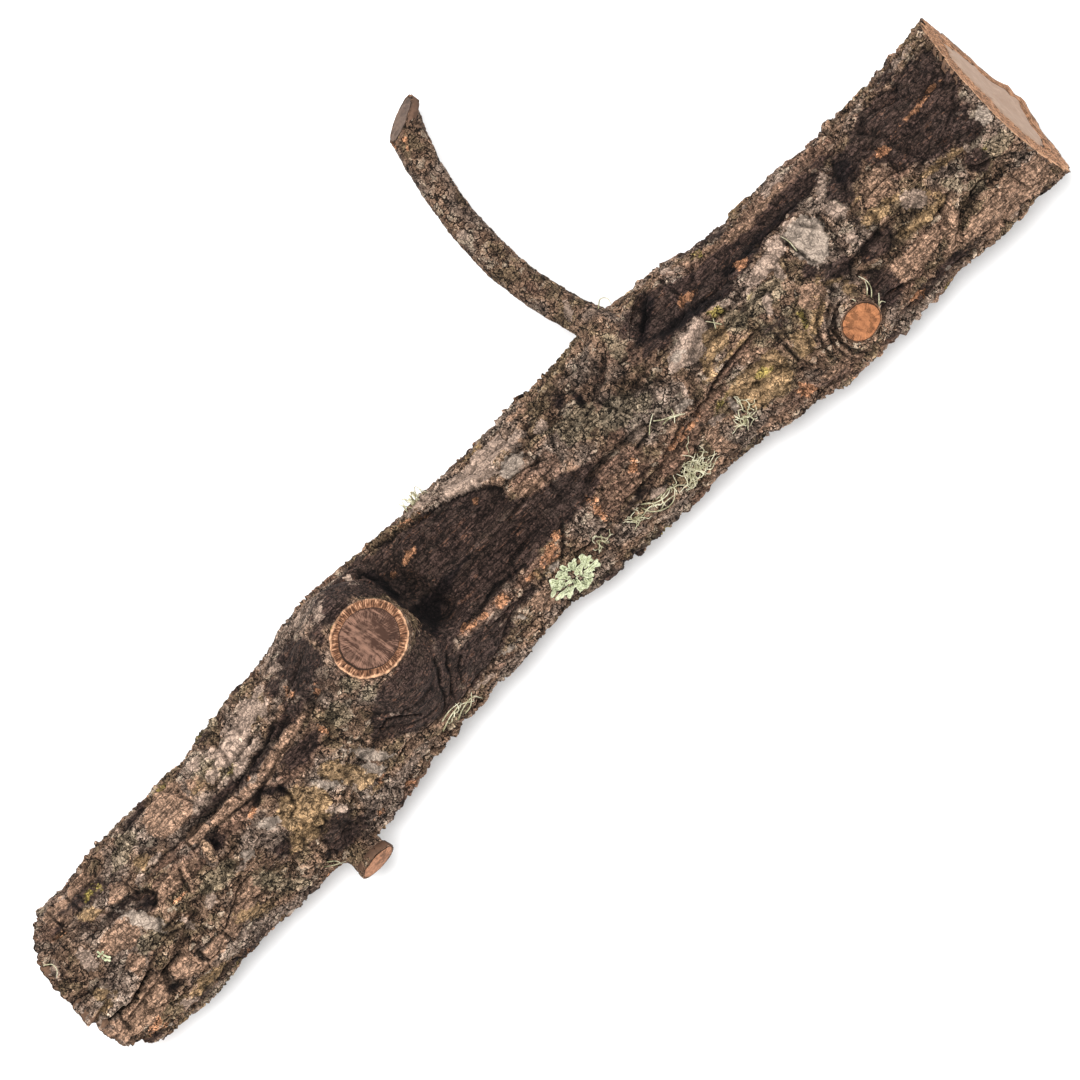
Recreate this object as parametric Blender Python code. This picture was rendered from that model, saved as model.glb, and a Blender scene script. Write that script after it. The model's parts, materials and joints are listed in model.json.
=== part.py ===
"""Cork bark branch: a sawn length of branch with its thick, furrowed bark, a curved
side twig, sawn-off knots and the lichens that grow on it.

Metres, +Z up. X runs along the branch to its sawn end and Y points to the twig's side.
The origin is on the flat underside where the branch rests, at the middle of its length.
The branch is one closed solid, and each lichen is a solid of its own, a hair above the bark.
"""

import math
from itertools import product

import bmesh
import bpy
import numpy as np
from mathutils import Vector
from mathutils.bvhtree import BVHTree

MM = 0.001

# Places are listed in millimetres, as an eye sees them from EYE_HEIGHT above the trunk's axis.
# Across the branch they count from a line REST_Y below the middle of the underside.
EYE_HEIGHT = 2000.0
REST_Y = 8.0

# The trunk: place along it, its two side edges and its thickness from below to above.
TRUNK_STATIONS = [
    (-199, -28.6, 27.6, 57),
    (-175, -29.6, 30.0, 57),
    (-150, -28.2, 31.3, 57),
    (-125, -29.0, 32.8, 59),
    (-100, -29.2, 34.8, 61),
    (-78, -26.4, 37.6, 62),
    (-58, -23.8, 39.3, 60),
    (-38, -22.8, 37.8, 57),
    (-15, -21.8, 37.8, 57),
    (10, -23.6, 38.0, 59),
    (40, -25.8, 37.2, 60),
    (65, -25.8, 37.6, 60),
    (85, -29.6, 35.4, 61),
    (105, -33.0, 32.3, 62),
    (128, -35.2, 30.8, 63),
    (150, -34.2, 29.8, 62),
    (178, -34.2, 30.2, 62),
    (203, -34.4, 32.4, 63),
]
RINGS = 104
SIDES = 38
SAWN_LEAN = 0.256       # the right cut, run per rise above the axis: its lower edge reaches furthest
SAWN_LEAN_BELOW = 0.19  # the same cut below the axis
OBLIQUE_LEAN = 0.40     # the left cut: its upper edge reaches furthest
LEAN_REACH = 60.0

# The underside touches the ground in three flat pads, and arches a little between them.
PAD_PLACES = (-128.0, 0.0, 132.0)
PAD_LENGTH = 24.0
PAD_SINK = 1.6
ARCH = 2.2

# Bark relief
FURROW_DEPTH = 3.2
CRACK_DEPTH = 1.7
LUMP_HEIGHT = 1.4
KNOB_HEIGHT = 0.9
FURROW_SIZE = (42.0, 11.0, 11.0)
CRACK_SIZE = (13.0, 21.0, 21.0)
LUMP_SIZE = (34.0, 20.0, 20.0)
KNOB_SIZE = (15.0, 8.0, 8.0)
PATCH_SIZE = (48.0, 30.0, 30.0)

# Sawn faces: how thick the bark is round the wood, and the crack between the two.
RIGHT_BARK = 11.5
LEFT_BARK = 9.0
KNOT_BARK = 3.2
CUT_GAP = 0.8
CUT_GAP_DEPTH = 1.2

# Forms in the bark. Each is a path of places (along, across, half-width, height above the bark).
HOLLOWS = {
    "hollow behind the knot": [(-42.5, 29, 4.5, -5), (-41.5, 15, 6, -9.5), (-40, 6, 5, -8)],
    "upper channel": [(-44, 24, 7, -4), (-25, 19, 6.5, -3.2), (-8, 18, 4, -2.2), (3, 19, 2.5, -1)],
    "lower channel": [(-44, 8, 6, -6), (-25, 5, 6, -4), (0, 4, 5.5, -3), (26, 5, 3.5, -1.6)],
    "groove beyond the twig": [(64, 26, 5, -3.5), (80, 24, 6, -4.5), (105, 23, 5, -4), (130, 22.5, 4.5, -3),
                               (152, 20, 5, -2)],
    "hollow near the sawn end": [(162, 12, 7, -1.6), (180, 14, 9, -2.2), (199, 13, 8, -1.6)],
    "furrow along the left third": [(-190, 12, 2.2, -2), (-172, 11, 2.2, -1.4), (-164, 11, 2, -0.6)],
    "furrow above the long ridge": [(-146, 14, 2.4, -2.6), (-128, 14.5, 2.6, -3), (-108, 17.5, 2.4, -2.2)],
    "crack of the lower plates": [(-209, -12.5, 1.6, -2.4), (-197, -13.5, 1.6, -2.4), (-187, -11, 1.4, -1.6)],
    "hollow round the chip": [(-144, 5, 3.4, -3)],
    "hole above the left end": [(-196, 21, 2.4, -2.4)],
    "hole on the left third": [(-172, 7, 3, -2)],
}
RIDGES = {
    "knot collar": [(-67, 17, 18, 12), (-64, 11, 17, 11)],
    "collar's long foot": [(-66, 30, 9, 2), (-60, -2, 11, 4), (-60, -14, 9, 1.6)],
    "upper rim of the channels": [(-44, 36, 3, 1.4), (-24, 33, 3, 1.8), (-4, 28, 3, 1.6), (6, 20, 2.5, 1.4),
                                  (22, 11, 2.5, 1.2), (36, 7, 2, 0.8)],
    "rib between the channels": [(-31, 13, 1.8, 1.6), (-10, 11.5, 1.8, 1.5), (10, 10.5, 1.6, 1.2)],
    "lower rim of the channels": [(-42, -3, 2.6, 1.6), (-20, -4.5, 2.8, 1.6), (5, -5, 2.6, 1.4)],
    "long ridge": [(-144, 9, 3, 1.6), (-126, 9.5, 3.4, 2.2), (-108, 11, 3.2, 2), (-92, 14, 2.6, 1.4)],
    "collar of the twig": [(58, 30, 6.5, 2.8), (60, 36, 6, 2.4)],
    "ridge beside the twig": [(46, -8.5, 2.4, 1), (60, -4.5, 2.6, 1.4), (80, -2, 2.6, 1.4), (94, 0, 2, 0.8)],
    "ridge on the lower edge": [(95, -25, 3, 1.2), (115, -31, 3, 1.4)],
    "collar of the small stub": [(119.5, -21.8, 10.5, 5)],
    "yellow strip": [(150, -11.6, 1.6, 0.9), (163, -13.2, 1.6, 1.1)],
    "foot of the side stub": [(-111, -29.5, 7, 2)],
}

# The knot that faces up: its sawn disc's middle, half-widths and lean towards +Y.
KNOT_PLACE = (-62.0, 16.3, 72.5)
KNOT_RADII = (13.3, 12.8)
KNOT_LEAN = math.radians(17)
KNOT_DEPTH = 20.0
SMALL_STUB_PLACE = (121.3, -22.7, 59.2)
SMALL_STUB_RADIUS = 7.3
SMALL_STUB_LEAN = math.radians(-37)

# How high the bark may stand round a sawn disc: distance from its middle, and height over its plane.
KNOT_COVER = ([12.4, 14.2, 17, 23], [-1.6, -0.3, 0.4, 9])
SMALL_STUB_COVER = ([6.6, 8, 10, 14], [-1.2, -0.3, 0.4, 8])

# The stubs at the sides, and a chip of bark
SIDE_STUB_PATH = [(-111.5, -20, 29.5), (-111.3, -28, 32), (-110.6, -33.5, 34), (-110.2, -36.6, 35.4)]
SIDE_STUB_RADII = [7.4, 6.4, 6.6, 7.2]
SIDE_STUB_CUT = (0.06, -0.96, 0.27)
CHIP_PATH = [(-147.8, 0.5, 55), (-147, 2.5, 61), (-146, 5, 63.4), (-145, 7.8, 62.8)]
CHIP_RADII = [1.7, 1.9, 1.8, 1.4]
TWIGLET_PATH = [(64, 27, 48), (68.5, 31.5, 50), (72.5, 33, 49), (76, 34, 48.5)]
TWIGLET_RADII = [2.4, 1.6, 1.3, 1.25]
STUB_SIDES = 14
TWIGLET_SIDES = 7

# The twig: its axis from inside the trunk to the tip, and its radius there.
TWIG_PATH = [
    (61.5, 18, 44), (60.5, 28, 45), (59.8, 36, 41.5), (57.8, 44, 36.5), (55.7, 51, 33),
    (53.9, 60, 30.5), (52.6, 70, 29), (52.5, 80, 28), (53.0, 90, 27), (54.5, 100, 26),
    (56.6, 110, 25.5), (59.3, 119, 25), (62.3, 127.2, 25),
]
TWIG_RADII = [8.5, 8.0, 6.8, 5.6, 5.5, 5.6, 5.5, 5.5, 5.4, 5.4, 5.6, 5.9, 6.3]
TWIG_SIDES = 10
TWIG_CUT = (-0.34, 0.88, 0.33)
TWIG_ROUGHNESS = 0.35

# Lichens. A gap this wide parts each from the bark.
SEAT_GAP = 0.35
LOBE_THICKNESS = 0.8
ROSETTE_PLACE = (-1.8, -16.0)
ROSETTE_REACH = 9.4
ROSETTE_LOBES = 14
SMALL_ROSETTE_PLACE = (-194.0, 4.0)
SMALL_ROSETTE_REACH = 3.0
SMALL_ROSETTE_LOBES = 5
THREAD_RADIUS = 0.42
THREAD_SIDES = 3
THREAD_STEPS = 5

# Beard lichens: middle, reach along and round the trunk, number of threads and how far they stand out.
TUFTS = {
    "beard_lichen_large": ((50.5, -18.5), (7.5, 6.5), 9, 1.4),
    "beard_lichen_middle": ((36.0, -17.5), (6.5, 4.6), 6, 1.0),
    "beard_lichen_right": ((73.5, -19.0), (4.2, 4.0), 5, 1.0),
    "beard_lichen_knot": ((-57.0, -20.0), (5.6, 3.0), 5, 0.8),
    "beard_lichen_stub": ((129.5, -17.5), (2.4, 5.0), 5, 1.4),
    "beard_lichen_edge": ((-21.5, 36.6), (3.4, 3.6), 5, 3.0),
}

COLOURS = {
    "bark": ((0.150, 0.102, 0.070), 0.9),
    "leafy_lichen": ((0.42, 0.46, 0.26), 0.85),
    "beard_lichen": ((0.44, 0.44, 0.29), 0.85),
}


def remove_scene_objects():
    for obj in list(bpy.data.objects):
        bpy.data.objects.remove(obj, do_unlink=True)


def material(name):
    """A Principled material of the named colour."""
    found = bpy.data.materials.get(name)
    if found:
        return found
    colour, roughness = COLOURS[name]
    made = bpy.data.materials.new(name)
    made.use_nodes = True
    shader = made.node_tree.nodes["Principled BSDF"]
    shader.inputs["Base Color"].default_value = (*colour, 1)
    shader.inputs["Roughness"].default_value = roughness
    made.diffuse_color = (*colour, 1)
    return made


def noise(points, size, seed):
    """Smooth noise from about -1 to 1: random slopes on a lattice of cells of this size, blended."""
    draw = np.random.default_rng(seed)
    order = np.tile(draw.permutation(256), 2)
    slopes = draw.normal(size=(256, 3))
    slopes /= np.linalg.norm(slopes, axis=1, keepdims=True)
    places = np.asarray(points) / np.asarray(size)
    cell = np.floor(places).astype(int)
    inside = places - cell
    ease = inside**3 * (inside * (inside * 6 - 15) + 10)
    total = np.zeros(places.shape[:-1])
    for corner in product((0, 1), repeat=3):
        x, y, z = np.moveaxis((cell + corner) & 255, -1, 0)
        slope = slopes[order[order[order[x] + y] + z]]
        share = np.prod(np.where(corner, ease, 1 - ease), axis=-1)
        total += share * ((inside - corner) * slope).sum(-1)
    return total * 1.7


def along_curve(where, knots, values):
    """Values at the knots, joined by a smooth cubic curve and read at these places."""
    knots = np.asarray(knots, float)
    values = np.asarray(values, float)
    slopes = np.gradient(values, knots, axis=0)
    i = np.clip(np.searchsorted(knots, where) - 1, 0, len(knots) - 2)
    span = knots[i + 1] - knots[i]
    t = np.clip((where - knots[i]) / span, 0, 1)
    return (
        values[i] * (2 * t**3 - 3 * t**2 + 1)
        + slopes[i] * span * (t**3 - 2 * t**2 + t)
        + values[i + 1] * (3 * t**2 - 2 * t**3)
        + slopes[i + 1] * span * (t**3 - t**2)
    )


def trunk_section(x):
    """Middle across, half-width, half-height, height of the axis and share of a pad, along the trunk."""
    stations = np.array(TRUNK_STATIONS, float)
    low, high, thick = (along_curve(x, stations[:, 0], stations[:, i]) for i in (1, 2, 3))
    pad = np.max([np.exp(-(((x - p) / PAD_LENGTH) ** 4)) for p in PAD_PLACES], axis=0)
    axis = thick / 2 - PAD_SINK + ARCH * (1 - pad)
    return (low + high) / 2, (high - low) / 2, thick / 2, axis, pad


def end_lean(x, above):
    """How far a section leans along the branch for each millimetre above the axis."""
    left, right = TRUNK_STATIONS[0][0], TRUNK_STATIONS[-1][0]
    at_left = np.clip(1 - (x - left) / LEAN_REACH, 0, 1) ** 2
    at_right = np.clip(1 - (right - x) / LEAN_REACH, 0, 1) ** 2
    return -np.where(above > 0, SAWN_LEAN, SAWN_LEAN_BELOW) * at_right - OBLIQUE_LEAN * at_left


def on_trunk(x, y):
    """Place along the trunk, before its ends lean, of a place that is seen, and its angle from the top."""
    shrink, place = 1.0, x
    for _ in range(6):
        middle, half, rise, _, _ = trunk_section(place)
        sine = np.clip((y * shrink - middle) / half, -0.999, 0.999)
        above = rise * np.sqrt(1 - sine**2)
        shrink = 1 - above / EYE_HEIGHT
        place = x * shrink - end_lean(place, above) * above
    return place, np.arcsin(sine)


def seen(x, y, z):
    """True place, in millimetres, of a point at height z that is seen at x, y."""
    shrink = 1 - (z - 31) / EYE_HEIGHT
    return np.array([x * shrink, y * shrink, z])


def stroke(x, angle, path):
    """A ridge or groove along a path: height over a soft-edged band round the nearest point of it."""
    knots = [(*on_trunk(px, py), width, height) for px, py, width, height in path]
    if len(knots) == 1:
        knots = knots * 2
    best = np.full(x.shape, 1e9)
    height = np.zeros(x.shape)
    for (xa, aa, wa, ha), (xb, ab, wb, hb) in zip(knots, knots[1:]):
        radius = trunk_section(np.array((xa + xb) / 2))[1]
        along = np.array([xb - xa, (ab - aa) * radius])
        off_x = x - xa
        off_s = (angle - aa) * radius
        t = np.clip((off_x * along[0] + off_s * along[1]) / max(along @ along, 1e-9), 0, 1)
        distance = np.hypot(off_x - t * along[0], off_s - t * along[1]) / (wa + t * (wb - wa))
        nearer = distance < best
        best = np.where(nearer, distance, best)
        height = np.where(nearer, ha + t * (hb - ha), height)
    return height / (1 + best**4)


def bark_relief(x, angle):
    """Height of the bark over the smooth trunk, in millimetres."""
    middle, half, rise, axis, pad = trunk_section(x)
    points = np.stack([x, middle + half * np.sin(angle), axis + rise * np.cos(angle)], axis=-1)
    warp = noise(points, (17, 17, 17), 3)[..., None] * np.array([6, 3, 3])
    furrow = np.abs(noise(points + warp, FURROW_SIZE, 11))
    crack = np.abs(noise(points + warp, CRACK_SIZE, 12))
    furrowed = np.clip(0.6 + 1.3 * noise(points, PATCH_SIZE, 14), 0, 1)
    cracked = np.clip(0.4 + 1.5 * noise(points, PATCH_SIZE, 15), 0, 1)
    relief = LUMP_HEIGHT * noise(points, LUMP_SIZE, 13) + KNOB_HEIGHT * noise(points + warp, KNOB_SIZE, 16)
    relief = relief - FURROW_DEPTH * furrowed * np.exp(-((furrow / 0.15) ** 2))
    relief = relief - CRACK_DEPTH * cracked * np.exp(-((crack / 0.13) ** 2))
    collar = stroke(x, angle, [(-62, 13, 24, 1), (-60, -8, 14, 1)])
    relief = relief * (1 - 0.75 * collar)
    for path in (*HOLLOWS.values(), *RIDGES.values()):
        relief = relief + stroke(x, angle, path)
    under = pad * np.clip((-np.cos(angle) - 0.86) / 0.08, 0, 1)
    return relief * (1 - under)


def trunk_surface(x, angle):
    """Points of the trunk's skin, in millimetres."""
    middle, half, rise, axis, _ = trunk_section(x)
    out = bark_relief(x, angle)
    y = middle + (half + out) * np.sin(angle)
    z = np.maximum(axis + (rise + out) * np.cos(angle), 0)
    return np.stack([x + end_lean(x, z - axis) * (z - axis), y, z], axis=-1)


def held_under(rings, middle, lean, cover):
    """The rings, pressed down along a stub's axis where they would cover its sawn disc."""
    outward = np.array([0, math.sin(lean), math.cos(lean)])
    off = rings - middle
    over = off @ outward
    across = np.linalg.norm(off - over[..., None] * outward, axis=-1)
    excess = np.clip(over - np.interp(across, *cover), 0, None) * (over < 14)
    return rings - excess[..., None] * outward * (across < cover[0][-1])[..., None]


def cut_face(rim, bark, outward):
    """Rings of a sawn face from its rim inwards: bark this thick, the crack beside the wood, and wood."""
    middle = rim.mean(axis=0)
    reach = np.linalg.norm(rim - middle, axis=1, keepdims=True)
    steps = ((bark, 0), (bark + CUT_GAP / 2, CUT_GAP_DEPTH), (bark + CUT_GAP, 0))
    return [middle + (rim - middle) * (1 - inset / reach) - outward * depth for inset, depth in steps]


def skin(rings):
    """A closed mesh round rings of points, each end closed by a fan to its middle."""
    rings = np.asarray(rings) - (0, REST_Y, 0)
    count, sides = rings.shape[:2]
    ends = [rings[0].mean(axis=0), rings[-1].mean(axis=0)]
    points = np.concatenate([rings.reshape(-1, 3), ends]) * MM
    index = np.arange(count * sides).reshape(count, sides)
    near, far = index[:-1], index[1:]
    quads = np.stack([near, np.roll(near, -1, 1), np.roll(far, -1, 1), far], axis=-1).reshape(-1, 4)
    faces = quads.tolist()
    first, last = count * sides, count * sides + 1
    faces += [(first, b, a) for a, b in zip(index[0], np.roll(index[0], -1))]
    faces += [(last, a, b) for a, b in zip(index[-1], np.roll(index[-1], -1))]
    mesh = bpy.data.meshes.new("skin")
    mesh.from_pydata(points.tolist(), [], faces)
    shell = bmesh.new()
    shell.from_mesh(mesh)
    bmesh.ops.triangulate(shell, faces=shell.faces[:])
    bmesh.ops.recalc_face_normals(shell, faces=shell.faces[:])
    shell.to_mesh(mesh)
    shell.free()
    return mesh


def solid(name, mesh, finish, collection):
    """An object of this mesh in this collection."""
    obj = bpy.data.objects.new(name, mesh)
    mesh.name = name
    mesh.materials.clear()
    mesh.materials.append(material(finish))
    collection.objects.link(obj)
    return obj


def tube(path, radii, sides, up=(0, 0, 1), end_normal=None, roughness=0.0):
    """Rings round a path: each faces along it, and the last may be turned onto a cut's plane."""
    path = np.asarray(path, float)
    heading = np.gradient(path, axis=0)
    heading /= np.linalg.norm(heading, axis=1, keepdims=True)
    side = np.cross(heading, up)
    side /= np.linalg.norm(side, axis=1, keepdims=True)
    top = np.cross(side, heading)
    turn = np.linspace(0, 2 * math.pi, sides, endpoint=False)[None, :, None]
    spread = side[:, None] * np.cos(turn) + top[:, None] * np.sin(turn)
    rings = path[:, None] + spread * np.asarray(radii, float)[:, None, None]
    if roughness:
        bumps = noise(rings, (9, 9, 9), 31)[..., None]
        rings = rings + spread * bumps * roughness
    if end_normal is not None:
        normal = np.asarray(end_normal, float)
        off = (rings[-1] - path[-1]) @ normal / (heading[-1] @ normal)
        rings[-1] -= off[:, None] * heading[-1]
    return rings


def sawn_stub(place, radii, lean, depth, sides, bark=None):
    """A short stub on the trunk that ends in a sawn face, with its bark's crack or a low crown."""
    outward = np.array([0, math.sin(lean), math.cos(lean)])
    across = np.array([0, math.cos(lean), -math.sin(lean)])
    turn = np.linspace(0, 2 * math.pi, sides, endpoint=False)[:, None]
    spread = np.array([1, 0, 0]) * np.cos(turn) * radii[0] + across * np.sin(turn) * radii[1]
    middle = seen(*place)
    rings = [middle - outward * depth + spread * 1.16, middle - outward * 3 + spread * 1.05]
    rings += [middle - outward * 0.8 + spread * 1.02, middle + spread]
    if bark:
        rings += cut_face(rings[-1], bark, outward)
    else:
        rings.append(middle + spread * 0.6 + outward * 0.6)
    return rings


def build_branch(collection, helpers):
    """The trunk, with the twig and the stubs joined to it."""
    left, right = TRUNK_STATIONS[0][0], TRUNK_STATIONS[-1][0]
    x = np.linspace(left, right, RINGS)
    angle = np.linspace(0, 2 * math.pi, SIDES, endpoint=False)
    angle = np.where(angle > math.pi, angle - 2 * math.pi, angle)
    rings = trunk_surface(x[:, None] + 0 * angle, angle + 0 * x[:, None])
    rings = held_under(rings, seen(*KNOT_PLACE), KNOT_LEAN, KNOT_COVER)
    rings = held_under(rings, seen(*SMALL_STUB_PLACE), SMALL_STUB_LEAN, SMALL_STUB_COVER)
    sawn = np.array([1, 0, SAWN_LEAN]) / math.hypot(1, SAWN_LEAN)
    oblique = np.array([-1, 0, -OBLIQUE_LEAN]) / math.hypot(1, OBLIQUE_LEAN)
    left_face = cut_face(rings[0], LEFT_BARK, oblique)
    rings = [*left_face[::-1], *rings, *cut_face(rings[-1], RIGHT_BARK, sawn)]
    branch = solid("branch", skin(rings), "bark", collection)

    limbs = {
        "twig": tube([seen(*p) for p in TWIG_PATH], TWIG_RADII, TWIG_SIDES, end_normal=TWIG_CUT,
                     roughness=TWIG_ROUGHNESS),
        "twiglet": tube([seen(*p) for p in TWIGLET_PATH], TWIGLET_RADII, TWIGLET_SIDES),
        "side_stub": tube([seen(*p) for p in SIDE_STUB_PATH], SIDE_STUB_RADII, STUB_SIDES,
                          end_normal=SIDE_STUB_CUT),
        "chip": tube([seen(*p) for p in CHIP_PATH], CHIP_RADII, TWIGLET_SIDES, up=(1, 0, 0)),
        "knot": sawn_stub(KNOT_PLACE, KNOT_RADII, KNOT_LEAN, KNOT_DEPTH, 26, KNOT_BARK),
        "small_stub": sawn_stub(SMALL_STUB_PLACE, (SMALL_STUB_RADIUS,) * 2, SMALL_STUB_LEAN, 11, STUB_SIDES),
    }
    for name, limb in limbs.items():
        helper = solid(name + "_limb", skin(limb), "bark", helpers)
        helper.hide_render = True
        helper.display_type = "WIRE"
    joined = branch.modifiers.new("limbs", "BOOLEAN")
    joined.operation = "UNION"
    joined.operand_type = "COLLECTION"
    joined.collection = helpers
    joined.solver = "EXACT"
    apply_modifiers(branch)
    for helper in list(helpers.objects):
        bpy.data.objects.remove(helper, do_unlink=True)
    branch.data.shade_flat()
    return branch


def local_frame(place):
    """Middle on the trunk of a seen place, with the directions along it, round it and outward."""
    x, angle = on_trunk(*place)
    outward = np.array([0, math.sin(angle), math.cos(angle)])
    around = np.array([0, math.cos(angle), -math.sin(angle)])
    middle, _, rise, axis, _ = trunk_section(x)
    above = rise * math.cos(angle)
    base = np.array([x + end_lean(x, above) * above, middle, axis])
    return base, np.array([1.0, 0, 0]), around, outward


def bark_height(tree, base, outward, points):
    """Height over the axis, along the outward direction, at which a ray from outside meets the bark."""
    heights = []
    for point in points:
        start = point + outward * (80 - (point - base) @ outward)
        hit, _, _, _ = tree.ray_cast(Vector(start), Vector(-outward), 80)
        heights.append((np.array(hit) - base) @ outward if hit is not None else 0.0)
    return np.array(heights)


def highest_near(heights):
    """Each height raised to its neighbours', so that what joins them stays clear."""
    padded = np.pad(heights, 1, mode="edge")
    return np.max([padded[:-2], padded[1:-1], padded[2:]], axis=0)


def laid_path(tree, frame, flat_points, half_width, rise):
    """A path over the bark: places along and round it, each lifted clear of the bark below."""
    base, along, around, outward = frame
    points = base + flat_points[:, :1] * along + flat_points[:, 1:] * around
    widths = np.asarray(half_width)[:, None]
    edges = [points + step * widths * direction for step in (-1, 0, 1) for direction in (along, around)]
    heights = np.max([bark_height(tree, base, outward, edge) for edge in edges], axis=0)
    return points + (highest_near(heights) + SEAT_GAP + rise)[:, None] * outward


def lobe(tree, frame, bearing, reach, width, lift, curl):
    """A leaf-like lobe: four-sided sections along a path that leaves the rosette's middle."""
    along_lobe = np.array([0.0, 0.35, 0.68, 0.9, 1.0])
    half_widths = np.array([0.8, 0.62, 1.0, 0.82, 0.35]) * width
    bend = bearing + 0.35 * math.sin(bearing * 5) * along_lobe
    flat = np.stack([np.cos(bend), np.sin(bend)], axis=1) * (along_lobe * reach)[:, None]
    rise = LOBE_THICKNESS / 2 + lift + curl * along_lobe**2
    path = laid_path(tree, frame, flat, half_widths, rise)
    return blade(path, half_widths, frame[3])


def blade(path, half_widths, outward):
    """Flat sections along a path: two edges, and a crown above and below them."""
    heading = np.gradient(path, axis=0)
    side = np.cross(heading, outward)
    side /= np.linalg.norm(side, axis=1, keepdims=True)
    wide = side * half_widths[:, None]
    thick = outward * LOBE_THICKNESS / 2
    return np.stack([path - wide, path + thick, path + wide, path - thick], axis=1)


def fuse(name, limbs, finish, collection, helpers):
    """Joins overlapping limbs into one solid of this name."""
    first = solid(name, skin(limbs[0]), finish, collection)
    for i, limb in enumerate(limbs[1:]):
        helper = solid(f"{name}_{i}", skin(limb), finish, helpers)
        helper.hide_render = True
        helper.display_type = "WIRE"
    joined = first.modifiers.new("limbs", "BOOLEAN")
    joined.operation = "UNION"
    joined.operand_type = "COLLECTION"
    joined.collection = helpers
    joined.solver = "EXACT"
    apply_modifiers(first)
    for helper in list(helpers.objects):
        bpy.data.objects.remove(helper, do_unlink=True)
    return first


def build_rosette(name, place, reach, lobes, tree, collection, helpers):
    """A leafy lichen: a ring of lobes on the bark with a shorter ring on top."""
    frame = local_frame(place)
    draw = np.random.default_rng(len(name))
    limbs = []
    for i in range(lobes):
        bearing = 2 * math.pi * i / lobes + draw.uniform(-0.08, 0.08)
        long = reach * draw.uniform(0.82, 1.0)
        limbs.append(lobe(tree, frame, bearing, long, reach * 0.19, 0.02 * i, reach * 0.09))
    upper = lobes * 2 // 5
    for i in range(upper):
        bearing = 2 * math.pi * (i + 0.5) / upper + draw.uniform(-0.2, 0.2)
        limbs.append(lobe(tree, frame, bearing, reach * 0.58, reach * 0.2, 0.45 + 0.03 * i, reach * 0.16))
    return fuse(name, limbs, "leafy_lichen", collection, helpers)


def build_tuft(name, place, reach, threads, stand, tree, collection, helpers):
    """A beard lichen: threads that leave one holdfast and lie in loose curves over the bark."""
    frame = local_frame(place)
    draw = np.random.default_rng(sum(map(ord, name)))
    t = np.linspace(0, 1, THREAD_STEPS + 1)
    radii = THREAD_RADIUS * np.array([1.5] + [1.0] * (THREAD_STEPS - 1) + [0.75])
    limbs = []
    for i in range(threads):
        bearing = 2 * math.pi * (i + draw.uniform(-0.3, 0.3)) / threads
        bend = draw.uniform(-1.3, 1.3)
        length = draw.uniform(0.65, 1.0)
        turned = bearing + bend * t
        way = np.stack([np.cos(turned) * reach[0], np.sin(turned) * reach[1]], axis=1)
        flat = way * (t * length)[:, None]
        rise = THREAD_RADIUS + stand * draw.uniform(0.4, 1) * np.sin(t * math.pi * 0.75) + 0.03 * i
        path = laid_path(tree, frame, flat, radii, rise)
        limbs.append(tube(path, radii, THREAD_SIDES, up=frame[3]))
    return fuse(name, limbs, "beard_lichen", collection, helpers)


def apply_modifiers(obj):
    """Turns the evaluated shape into the object's own mesh."""
    bpy.context.view_layer.update()
    graph = bpy.context.evaluated_depsgraph_get()
    mesh = bpy.data.meshes.new_from_object(obj.evaluated_get(graph))
    obj.modifiers.clear()
    obj.data = mesh
    mesh.name = obj.name


def main():
    remove_scene_objects()
    scene = bpy.context.scene
    collection = bpy.data.collections.new("cork_bark_branch")
    helpers = bpy.data.collections.new("limbs")
    scene.collection.children.link(collection)
    scene.collection.children.link(helpers)
    branch = build_branch(collection, helpers)
    corners = np.array([v.co for v in branch.data.vertices]) / MM + (0, REST_Y, 0)
    tree = BVHTree.FromPolygons(corners.tolist(), [tuple(p.vertices) for p in branch.data.polygons])
    build_rosette("leafy_lichen", ROSETTE_PLACE, ROSETTE_REACH, ROSETTE_LOBES, tree, collection, helpers)
    build_rosette("leafy_lichen_small", SMALL_ROSETTE_PLACE, SMALL_ROSETTE_REACH, SMALL_ROSETTE_LOBES,
                  tree, collection, helpers)
    for name, (place, reach, threads, stand) in TUFTS.items():
        build_tuft(name, place, reach, threads, stand, tree, collection, helpers)


main()
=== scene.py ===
import json
import math
from itertools import product

import bpy
import numpy as np
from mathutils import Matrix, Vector
from mathutils.bvhtree import BVHTree

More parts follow.
